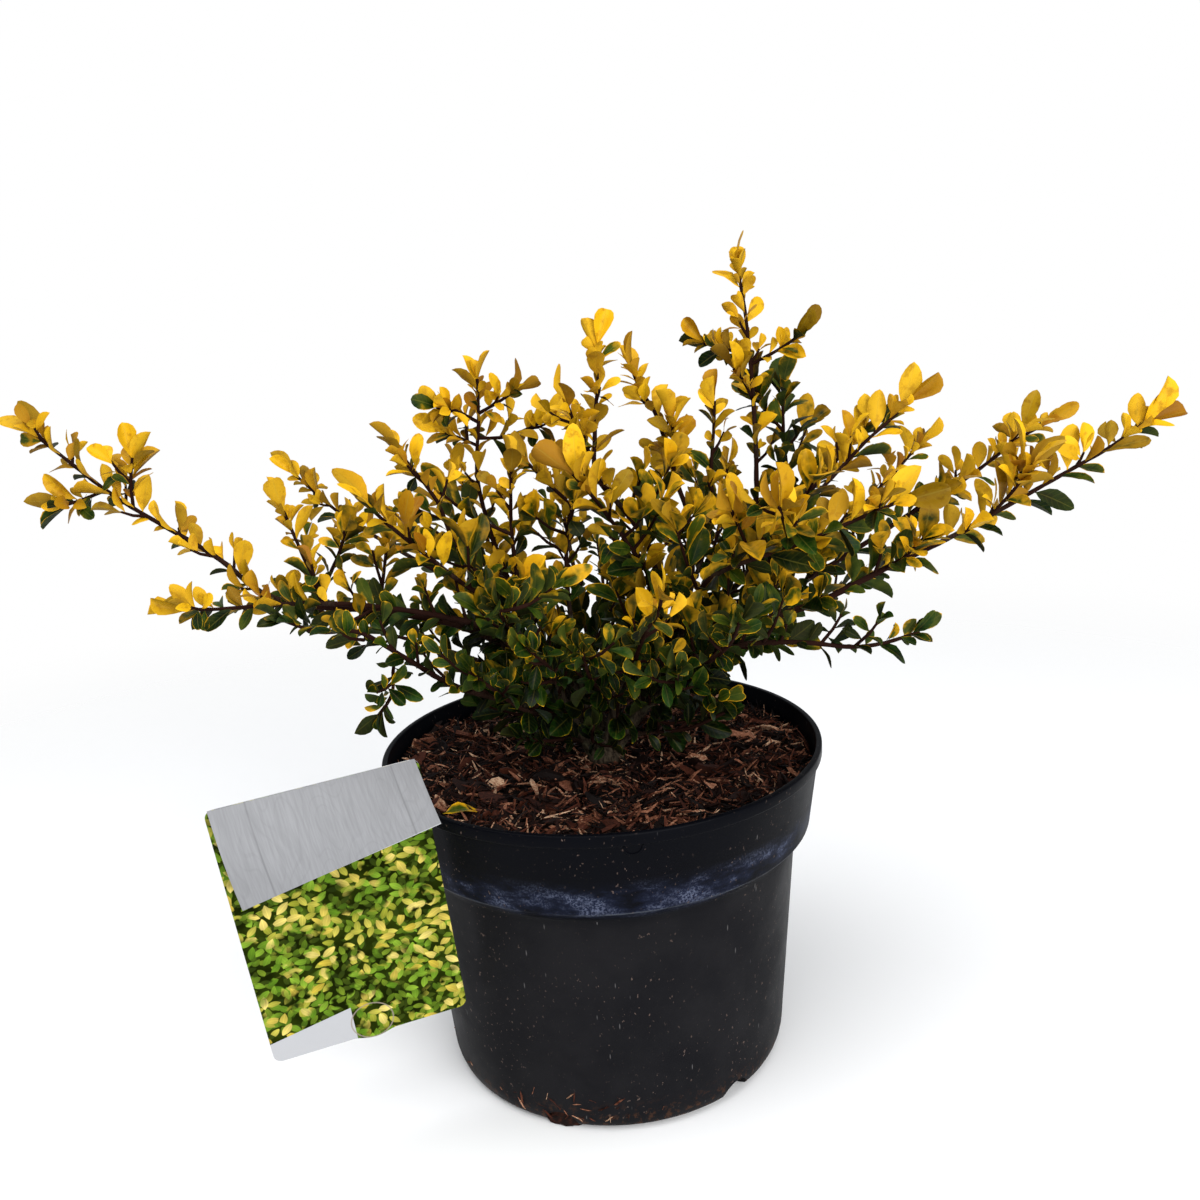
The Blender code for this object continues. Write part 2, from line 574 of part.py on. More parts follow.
class Path:
    """A line through points, measured along its length."""

    def __init__(self, points):
        self.points = points
        self.reach = [0.0]
        for start, end in zip(points, points[1:]):
            self.reach.append(self.reach[-1] + (end - start).length)
        self.length = self.reach[-1]

    def at(self, distance):
        """The point and the direction at this distance along the path."""
        place = 1
        while place < len(self.reach) - 1 and self.reach[place] < distance:
            place += 1
        start, end = self.points[place - 1], self.points[place]
        run = end - start
        return start + run * ((distance - self.reach[place - 1]) / run.length), run.normalized()

    def piece(self, first, last, step):
        """A coarser path through evenly spaced points, from one distance to another."""
        count = max(1, round((last - first) / step))
        return Path([self.at(first + (last - first) * number / count)[0] for number in range(count + 1)])

    def nearest(self, point):
        """The distance along the path of its closest place to a point."""
        tries = [self.length * number / NEAREST_TRIES for number in range(NEAREST_TRIES + 1)]
        return min(tries, key=lambda distance: (self.at(distance)[0] - point).length)


def tube(name, points, first_radius, last_radius, collection, roundness=0):
    """A tapering stem through some points, as a closed mesh: four-sided, or rounder."""
    curve = bpy.data.curves.new(name, "CURVE")
    curve.dimensions = "3D"
    curve.bevel_depth = 1.0
    curve.bevel_resolution = roundness
    curve.use_fill_caps = True
    spline = curve.splines.new("POLY")
    spline.points.add(len(points) - 1)
    for number, point in enumerate(points):
        share = number / (len(points) - 1)
        spline.points[number].co = (*point, 1)
        spline.points[number].radius = first_radius + (last_radius - first_radius) * share
    guide = bpy.data.objects.new(name + "_guide", curve)
    collection.objects.link(guide)
    mesh = evaluated_mesh(guide)
    bpy.data.objects.remove(guide, do_unlink=True)
    shape = bmesh.new()
    shape.from_mesh(mesh)
    bmesh.ops.remove_doubles(shape, verts=shape.verts, dist=0.000001)
    bmesh.ops.recalc_face_normals(shape, faces=shape.faces[:])
    return object_from_bmesh(name, shape, collection)


# Leaves


def blade(length, width, thickness):
    """A leaf along +Y from its root: pointed there, blunt at its end, and bent down from its widest place."""
    shape = bmesh.new()
    bmesh.ops.create_circle(shape, cap_ends=True, segments=5, radius=1)
    root, *sides = sorted(shape.verts, key=lambda corner: -corner.co.y)
    bmesh.ops.connect_vert_pair(shape, verts=sides[:2])
    root.co = (0, 0, 0)
    for corner, half, share, fall in zip(sides, BLADE_HALVES, BLADE_SHARES, BLADE_FALLS):
        corner.co = (math.copysign(half * width, corner.co.x), share * length, -fall * length)
    bmesh.ops.translate(shape, vec=(0, 0, thickness / 2), verts=shape.verts)
    copied = bmesh.ops.extrude_face_region(shape, geom=shape.faces[:], use_keep_orig=True)
    lower = [piece for piece in copied["geom"] if isinstance(piece, bmesh.types.BMVert)]
    bmesh.ops.translate(shape, vec=(0, 0, -thickness), verts=lower)
    bmesh.ops.recalc_face_normals(shape, faces=shape.faces[:])
    return shape


def leaf_place(root, along, upper):
    """The matrix that puts a blade's root at a point, pointing one way with its upper face turned another."""
    side = along.cross(upper).normalized()
    normal = side.cross(along)
    turn = Matrix((side, along, normal)).transposed()
    return Matrix.Translation(root) @ turn.to_4x4()


def radial(direction, angle):
    """A unit vector square to a stem, at an angle round it from its upper side."""
    guide = UP if abs(direction.z) < 0.9 else Vector((0, -1, 0))
    upper = (guide - direction * guide.dot(direction)).normalized()
    return Matrix.Rotation(angle, 3, direction) @ upper


class Neighbours:
    """What already has its place, so that a new leaf or twig can be bent clear of it."""

    def __init__(self):
        self.solids = []

    @staticmethod
    def box(points):
        lowest = [min(point[axis] for point in points) for axis in range(3)]
        highest = [max(point[axis] for point in points) for axis in range(3)]
        return lowest, highest

    def add(self, node, mesh):
        points = [corner.co.copy() for corner in mesh.vertices]
        faces = [tuple(face.vertices) for face in mesh.polygons]
        self.solids.append((node, *self.box(points), BVHTree.FromPolygons(points, faces)))

    def touched(self, shape, wanted):
        """Whether a trial shape cuts any solid whose node passes the wanted test."""
        points = [corner.co for corner in shape.verts]
        lowest, highest = self.box(points)
        tree = None
        for node, low, high, other in self.solids:
            if not wanted(node):
                continue
            if any(highest[axis] < low[axis] or lowest[axis] > high[axis] for axis in range(3)):
                continue
            if tree is None:
                tree = BVHTree.FromBMesh(shape)
            if tree.overlap(other):
                return True
        return False


def trial_blade(length, width, place, start):
    """A slightly larger blade that leaves out the first stretch from the root."""
    shape = blade(length - start + BLADE_MARGIN, width + 2 * BLADE_MARGIN, BLADE_THICKNESS + 2 * BLADE_MARGIN)
    bmesh.ops.translate(shape, vec=(0, start, 0), verts=shape.verts)
    bmesh.ops.transform(shape, matrix=place, verts=shape.verts)
    return shape


def leaf_is_clear(neighbours, node, length, width, place):
    for start, wanted in ((0.001, lambda other: other != node), (0.0035, lambda other: other == node)):
        shape = trial_blade(length, width, place, start)
        hit = neighbours.touched(shape, wanted)
        shape.free()
        if hit:
            return False
    return True


def add_leaf(site, length, node, neighbours, repeats):
    """One leaf at a site on a stem, turned about the stem until it is clear, or left out."""
    root, direction, turn, opening, roll = site
    width = length * BLADE_WIDTH_SHARE
    level = direction.cross(UP)
    roll *= LEAF_ROLL + UPRIGHT_ROLL * (1 - level.length)
    for extra in TURNS_TO_TRY:
        out = radial(direction, turn + math.radians(extra))
        aside = out.dot(level)
        out = (out - level * aside * SPRAY_FLATNESS).normalized()
        along = (direction * math.cos(opening) + out * math.sin(opening) + UP * 0.25).normalized()
        upper = direction + UP * 0.5 + level * math.copysign(1.2, aside)
        place = leaf_place(root, along, Matrix.Rotation(roll, 3, along) @ upper)
        if leaf_is_clear(neighbours, node, length, width, place):
            shape = blade(length, width, BLADE_THICKNESS)
            bmesh.ops.transform(shape, matrix=place, verts=shape.verts)
            leaf = object_from_bmesh("leaf", shape, repeats)
            neighbours.add(node, leaf.data)
            return True
    return False


def leaf_sites(path, first, dice, with_tip):
    """Where leaves sit on a stem, each with its turn, how far it opens from the stem, and its roll."""
    distance = first
    turn = dice.uniform(0, math.tau)
    while distance < path.length - LEAF_EVERY * 0.3:
        point, direction = path.at(distance)
        opening = math.radians(60 - 16 * distance / path.length + dice.uniform(-8, 8))
        yield (point, direction, turn, opening, dice.uniform(-1, 1)), dice.uniform(0.88, 1.1)
        distance += LEAF_EVERY * dice.uniform(0.88, 1.12)
        turn += GOLDEN_ANGLE
    for number in range(TIP_LEAVES if with_tip else 0):
        point, direction = path.at(path.length - 0.001 - TIP_LEAF_EVERY * number)
        opening = math.radians(20 + 9 * number + dice.uniform(-5, 5))
        yield (point, direction, turn, opening, dice.uniform(-0.8, 0.8)), dice.uniform(0.95, 1.15)
        turn += GOLDEN_ANGLE


def twig_routes(path, dice):
    """Side twigs by rule: alternate, rising a little, in millimetres as the routes are."""
    distance = TWIG_EVERY * 0.45
    side = 1 if dice.random() < 0.5 else -1
    while distance < path.length - TWIG_EVERY * 0.35:
        point, direction = path.at(distance)
        out = radial(direction, side * math.radians(70 + dice.uniform(-25, 25)))
        length = dice.uniform(*TWIG_LENGTHS)
        run = (direction * 0.7 + out * 0.75 + UP * 0.25).normalized()
        bend = (run + direction * 0.2 + UP * 0.35).normalized()
        middle = point + run * length * 0.5
        yield tuple(tuple(place / MM) for place in (point, middle, middle + bend * length * 0.5))
        distance += TWIG_EVERY * dice.uniform(0.85, 1.15)
        side = -side


def twig_is_clear(neighbours, node, path):
    """Tests a twig's outer stretch against its own node, and all but its root against every other."""
    for start, wanted in ((0.003, lambda other: other != node), (0.007, lambda other: other == node)):
        shape = bmesh.new()
        for number in range(6):
            point, direction = path.at(start + (path.length - start) * number / 5)
            turn = direction.to_track_quat("Z", "Y").to_matrix().to_4x4()
            bmesh.ops.create_cube(shape, size=3 * TWIG_RADIUS, matrix=Matrix.Translation(point) @ turn)
        hit = neighbours.touched(shape, wanted)
        shape.free()
        if hit:
            return False
    return True


# Plant


def sections(limb, path):
    """The leafy stretches of a limb: its name, first and last distance, and whether it is golden."""
    first = limb.bare * MM + STEM_GAP
    if limb.gold is None:
        return [(limb.name + "_green", first, path.length, False)]
    if limb.gold < 0.3:
        return [(limb.name + "_gold", first, path.length, True)]
    middle = first + (path.length - first) * limb.gold
    return [(limb.name + "_green", first, middle, False), (limb.name + "_gold", middle + STEM_GAP, path.length, True)]


def stem_radius(limb, path, distance):
    """Wood thickens towards the crown or the fork, and a leafy stem tapers to its tip."""
    bare = limb.bare * MM
    thick = limb.thick * MM
    if distance < bare:
        swelling = CROWN_SWELLING if limb.route[0] == CROWN else FORK_SWELLING
        return thick * (1 + swelling * (1 - distance / bare))
    return thick + (STEM_TIP_RADIUS - thick) * (distance - bare) / (path.length - bare)


def make_frame(parts, repeats, neighbours, paths):
    """The stock in its hole and every bare branch, fused."""
    foot = MULCH_FOOT - STOCK_HOLE_DEPTH + GAP
    points = [Vector((0, 0, foot)), Vector((0, 0, foot + 0.02)), Vector((0, 0, MULCH_TOP - 0.003)),
              Vector((0.001, -0.001, MULCH_TOP + 0.008))]
    frame = tube("woody_frame", points, STOCK_RADIUS, STOCK_RADIUS * 0.92, parts, roundness=2)
    neighbours.add("woody_frame", frame.data)
    for limb in LIMBS:
        path = paths[limb.name]
        bare = limb.bare * MM
        line = path.piece(0, bare, STEM_STEP)
        branch = tube("branch", line.points, stem_radius(limb, path, 0), stem_radius(limb, path, bare), repeats)
        neighbours.add("woody_frame", branch.data)
    boolean(frame, "UNION", repeats, "MANIFOLD")
    return frame


def make_stems(limb, path, parts, repeats, neighbours):
    """The limb's leafy stems with their side twigs, before the leaves. Returns what still takes leaves."""
    waiting = []
    dice = random.Random(limb.name + " twigs")
    for node, first, last, golden in sections(limb, path):
        line = path.piece(first, last, STEM_STEP)
        stem = tube(node, line.points, stem_radius(limb, path, first), stem_radius(limb, path, last), parts)
        neighbours.add(node, stem.data)
        own = [route for route in limb.twigs if first <= path.nearest(Vector(route[0]) * MM) < last]
        ruled = list(twig_routes(line, dice)) if limb.more else []
        stretches = [(line, LEAF_EVERY * 0.55, last == path.length)]
        for route in own + ruled:
            root = line.at(line.nearest(Vector(route[0]) * MM))[0] / MM
            whole = smooth((tuple(root),) + tuple(route[1:]))
            twig = whole.piece(0, whole.length, TWIG_STEP)
            if route in ruled and not twig_is_clear(neighbours, node, twig):
                continue
            made = tube("twig", twig.points, TWIG_RADIUS, STEM_TIP_RADIUS, repeats[node])
            neighbours.add(node, made.data)
            stretches.append((twig, LEAF_EVERY * 0.75, True))
        waiting.append((node, stem, golden, stretches))
    return waiting


def leaf_everything(limb, waiting, repeats, neighbours):
    """Leaves on a limb's stems and twigs. Returns how many found room."""
    count = 0
    dice = random.Random(limb.name + " leaves")
    for node, _, golden, stretches in waiting:
        for line, first, with_tip in stretches:
            for site, share in leaf_sites(line, first, dice, with_tip):
                length = limb.leaf * MM * share * (1 if golden else 0.92)
                count += add_leaf(site, length, node, neighbours, repeats[node])
    return count


def make_plant(parts, repeats, neighbours, materials):
    paths = {limb.name: smooth(limb.route) for limb in LIMBS}
    frame = make_frame(parts, repeats, neighbours, paths)
    give(frame, materials["wood"])
    shade_round(frame)
    bunches = {}
    waiting = {}
    for limb in LIMBS:
        for node, *_ in sections(limb, paths[limb.name]):
            bunches[node] = new_collection(node + "_repeats")
        waiting[limb.name] = make_stems(limb, paths[limb.name], parts, bunches, neighbours)
    leaves = 0
    for limb in LIMBS:
        leaves += leaf_everything(limb, waiting[limb.name], bunches, neighbours)
        for node, stem, golden, _ in waiting[limb.name]:
            boolean(stem, "UNION", bunches[node], "MANIFOLD")
            give(stem, materials["gold" if golden else "green"])
    for bunch in bunches.values():
        bpy.data.collections.remove(bunch)
    print(leaves, "leaves")


def main():
    clear_scene()
    parts = new_collection("potted_japanese_holly")
    repeats = new_collection("repeats")
    cutters = new_collection("cutters")
    materials = {name: new_material(name) for name in COLOURS}
    pot = make_pot(parts, cutters)
    root_ball = make_root_ball(parts)
    mulch = make_mulch(parts, repeats, tongue_slot(cutters))
    label = make_label(parts, repeats)
    shade_round(label)
    for item, name in ((pot, "pot"), (root_ball, "soil"), (mulch, "bark"), (label, "card")):
        give(item, materials[name])
    neighbours = Neighbours()
    for item in (pot, mulch, label):
        neighbours.add(item.name, item.data)
    make_plant(parts, repeats, neighbours, materials)


if __name__ == "__main__":
    main()
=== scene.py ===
"""Dresses the potted Japanese holly: pot, bark mulch, woody framework, leafy shoots and folded label."""

import json
import math
import random
from collections import namedtuple

import bmesh
import bpy
import numpy as np
from bpy.props import FloatProperty, FloatVectorProperty, IntProperty, PointerProperty
from mathutils import Euler, Matrix, Vector
from mathutils.bvhtree import BVHTree

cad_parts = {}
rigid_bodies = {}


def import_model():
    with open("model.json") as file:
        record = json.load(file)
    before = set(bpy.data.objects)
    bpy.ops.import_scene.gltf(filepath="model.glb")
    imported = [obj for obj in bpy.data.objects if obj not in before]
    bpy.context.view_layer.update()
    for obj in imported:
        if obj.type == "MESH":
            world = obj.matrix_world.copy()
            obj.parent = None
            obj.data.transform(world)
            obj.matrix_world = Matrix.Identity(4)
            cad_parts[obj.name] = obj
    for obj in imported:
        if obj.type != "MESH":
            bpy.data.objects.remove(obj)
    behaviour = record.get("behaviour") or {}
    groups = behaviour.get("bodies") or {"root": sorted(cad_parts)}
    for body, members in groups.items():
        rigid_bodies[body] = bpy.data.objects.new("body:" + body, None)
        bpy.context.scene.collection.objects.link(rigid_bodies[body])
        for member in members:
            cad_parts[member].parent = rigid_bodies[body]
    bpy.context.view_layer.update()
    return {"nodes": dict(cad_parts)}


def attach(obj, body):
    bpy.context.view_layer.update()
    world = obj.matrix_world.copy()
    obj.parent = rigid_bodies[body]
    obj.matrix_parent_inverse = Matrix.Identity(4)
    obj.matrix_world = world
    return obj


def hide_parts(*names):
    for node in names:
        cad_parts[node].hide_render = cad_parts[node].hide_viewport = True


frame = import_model()

bl_info = {
    "name": "Potted Japanese holly",
    "version": (1, 0, 0),
    "blender": (4, 5, 0),
    "location": "View3D > Sidebar > Holly",
    "description": "Builds the looks of a golden Japanese holly in its nursery pot",
    "category": "Add Mesh",
}

MM = 0.001
UP = Vector((0, 0, 1))
GAP = 0.0003
STEM_GAP = 0.0006

# Pot and filling, as the solids have them
RIM_RADIUS = 0.1125
POT_HEIGHT = 0.1672
LIP_HEIGHT = 0.0055
LIP_STANDS_OUT = 0.0012
COLLAR_HEIGHT = 0.042
COLLAR_FOOT_RADIUS = 0.1057
NECK_RADIUS = 0.0982
NECK_BELOW_COLLAR = 0.006
BODY_FOOT_RADIUS = 0.0893
FOOT_ROUNDING = 0.0075
POT_WALL = 0.0016
DRAIN_COUNT = 6
DRAIN_FIRST_ANGLE = math.radians(-50)
DRAIN_WIDTH = 0.017
DRAIN_DEPTH = 0.022
DRAIN_HEIGHT = 0.0012
COLLAR_FOOT = POT_HEIGHT - COLLAR_HEIGHT
NECK_TOP = COLLAR_FOOT - NECK_BELOW_COLLAR
MULCH_TOP = POT_HEIGHT - 0.0105
MULCH_THICKNESS = 0.014
MULCH_FOOT = MULCH_TOP - MULCH_THICKNESS
MULCH_RELIEF = 0.0018
STOCK_HOLE_DEPTH = 0.055
STOCK_RADIUS = 0.0105
CHIP_COUNT = 16
CHIP_LENGTHS = (0.009, 0.024)
CHIP_HALF_HEIGHT = 0.0015

# Details of the pot that only this script has
LIP_FOOT = POT_HEIGHT - LIP_HEIGHT
CRUMBS = 46
CRUMB_SIDE = -103
CRUMB_SPREAD = 9
CRUMB_RISE = 0.014
CRUMB_LENGTHS = (0.002, 0.0075)
CRUMB_THICKNESSES = (0.05, 0.11)
PLUG_DEPTH = 0.0056
PLUG_HALF_SIZES = (0.0035, 0.0088, 0.0082)
PLUG_FLOOR = 0.0003
MARK_ANGLE = math.radians(-84)
MARK_DROP = 0.0012
MARK_RADIUS = 0.0042
MARK_THICKNESS = 0.0005
POT_CREASE = math.radians(38)

# Label, as the solid has it
LABEL_WIDTH = 0.0915
LABEL_LENGTH = 0.1387
LABEL_THICKNESS = 0.0007
LABEL_CENTRE = Vector((-0.1200, -0.0910, 0.1256))
LABEL_TURN = Euler((math.radians(7.4), math.radians(-5.3), math.radians(15.7)))
LABEL_CORNER = 0.004
FLAP_LEFT = Vector((0.0079, -0.0227, -0.0370))
FLAP_RIGHT = Vector((0.0016, -0.0421, -0.0083))
TONGUE_WIDTH = 0.010
TONGUE_ANGLE = math.radians(-145)
TONGUE_AT_CARD = Vector((0.022, 0, 0.047))
TONGUE_RADIUS_INSIDE = 0.1030
TONGUE_FOOT = MULCH_TOP - 0.009
CARD_CREASE = math.radians(30)
FLAP_STEPS = 14
FLAP_BULGE = 0.004
FLAP_PRINT_LENGTH = 0.0436
FLAP_INSET = 0.0016

# Leaves and stems, as the solids have them
BLADE_THICKNESS = 0.0007
BLADE_WIDTH_SHARE = 0.54
BLADE_MARGIN = 0.0004
BLADE_WIDEST = 0.52
BLADE_WIDEST_DROP = 0.02
BLADE_END_HALF = 0.21
BLADE_END_DROP = 0.15
# how far from its root a trial shape begins, and whether it is tested against its own node or the others
LEAF_TRIALS = ((0.001, False), (0.0035, True))
TWIG_TRIALS = ((0.003, False), (0.007, True))
GOLDEN_ANGLE = math.radians(137.5)
OPENING = 60
OPENING_LOST = 16
OPENING_SPREAD = 8
TIP_OPENING = 20
TIP_OPENING_STEP = 9
LEAF_RISE = 0.25
LEAF_EVERY = 0.0190
TIP_LEAF_EVERY = 0.0026
TIP_LEAVES = 2
CURVE_STEP = 0.005
STEM_STEP = 0.025
TWIG_STEP = 0.014
NEAREST_TRIES = 200
STEM_TIP_RADIUS = 0.0008
TWIG_RADIUS = 0.0009
LEAF_ROLL = 0.5
UPRIGHT_ROLL = 0.8
SPRAY_FLATNESS = 0.45
TWIG_EVERY = 0.058
TWIG_LENGTHS = (0.022, 0.036)
TURNS_TO_TRY = (0, 40, -40, 80, -80, 125, -125, 170)
CROWN_SWELLING = 0.9
FORK_SWELLING = 0.1

# The finer foliage, which only this script has: an age is 1 for old wood, a size a share of a leaf's length
FINE_MARGIN = 0.0001
FINE_STEM_STEP = 0.004
FINE_TWIG_STEP = 0.003
WOOD_AGE = 1.0
STEM_AGE = 0.6
TWIG_AGE = 0.35
SPUR_AGE = 0.25
INNER_AGE = 0.45
FINE_TIP_RADIUS = 0.0006
LEAVES_BETWEEN = (1, 2, 3)
BETWEEN_TURN = math.radians(222)
BETWEEN_SIZES = (0.5, 0.85)
LEAST_ROOM = 0.006
TIP_CROWD = 7
TIP_CROWD_EVERY = 0.0022
TIP_SIZES = (0.42, 0.72)
SPUR_STARTS = (0.006, 0.016)
SPUR_LENGTHS = (0.006, 0.015)
SPUR_LEAVES = (3, 4, 5, 6)
SPUR_SIZES = (0.48, 0.82)
TWIG_TRIES = 6
INNER_TOP = 0.320
INNER_FOOT = 0.178
INNER_RADIUS = 0.150
INNER_STARTS = (0.004, 0.012)
INNER_SHARE = 0.7
INNER_LENGTHS = (0.014, 0.042)
INNER_LEAF_EVERY = (0.0045, 0.0075)
INNER_LEAF_LENGTHS = (0.014, 0.0225)
INNER_TIP_LENGTHS = (0.013, 0.020)
FALLEN_AT = (-0.0745, -0.0705, 0.1628)
FALLEN_TURN = (0.05, 0.15, math.radians(-62))
FALLEN_LENGTH = 0.0175
FALLEN_TONE = 0.50
FALLEN_BRONZE = 0.1
GOLD_TONE = 0.66
GOLD_ALONG = 0.16
GOLD_RISE = 0.20
GOLD_SPREAD = 0.10
GOLD_LOSS = (0.25, 0.55)
GREEN_TONE = 0.03
GREEN_TOP = 0.22
GREEN_TOP_BELOW_GOLD = 0.42
GREEN_SPREAD = 0.09
LEVEL_TONE_HEIGHT = 0.27
BLADE_WIDTHS = (0.78, 1.02)
SHADE_TOP = 0.29
SHADE_RADIUS = 0.15
# Green leaves darken towards deep green below these heights: painted shade low in the bush.
PAINTED_SHADE_FOOT = 0.185
PAINTED_SHADE_RISE = 0.035

# Points where branches leave one another, in millimetres from the middle of the pot's foot
CROWN = (0, 0, 150)
LEFT_FORK = (-14, -8, 182)
LEFT_KNEE = (-28, -15, 212)
LOW_LEFT_KNEE = (-38, -28, 228)
UNDER_KNEE = (-26, -24, 191)
MID_LEFT_FORK = (-8, 4, 185)
INNER_LEFT_KNEE = (-28, 10, 219)
FRONT_KNEE = (-22, -30, 205)
CENTRE_FORK = (8, -4, 185)
CENTRE_KNEE = (20, -8, 218)
RIGHT_FORK = (20, 6, 182)
UPPER_RIGHT_KNEE = (51, 20, 239)
LOW_RIGHT_FORK = (18, -9, 180)
RIGHT_KNEE = (36, -15, 202)
FRONT_RIGHT_FORK = (32, -23, 200)
FRONT_RIGHT_KNEE = (45, -40, 220)
SIDE_RIGHT_KNEE = (84, 0, 231)
BACK_RIGHT_FORK = (26, 16, 188)
BACK_RIGHT_KNEE = (48, 26, 208)
TALL_KNEE = (68, 35, 228)
OUTER_RIGHT_KNEE = (52, 38, 206)
BACK_LEFT_FORK = (-14, 14, 182)
BACK_LEFT_KNEE = (-32, 34, 210)
BACK_FORK = (0, 18, 184)


class Limb(namedtuple("Limb", "name route bare thick gold leaf twigs more", defaults=((), 0))):
    """One limb of the plant, with its lengths in millimetres.

    route: points from a fork outwards; bare: how much of it is bare framework; thick: its radius;
    gold: the share of the leafy length where the golden leaves begin, None where all its leaves are green;
    leaf: leaf length; twigs: side twigs that show singly, as routes; more: whether it has side twigs by rule.
    """


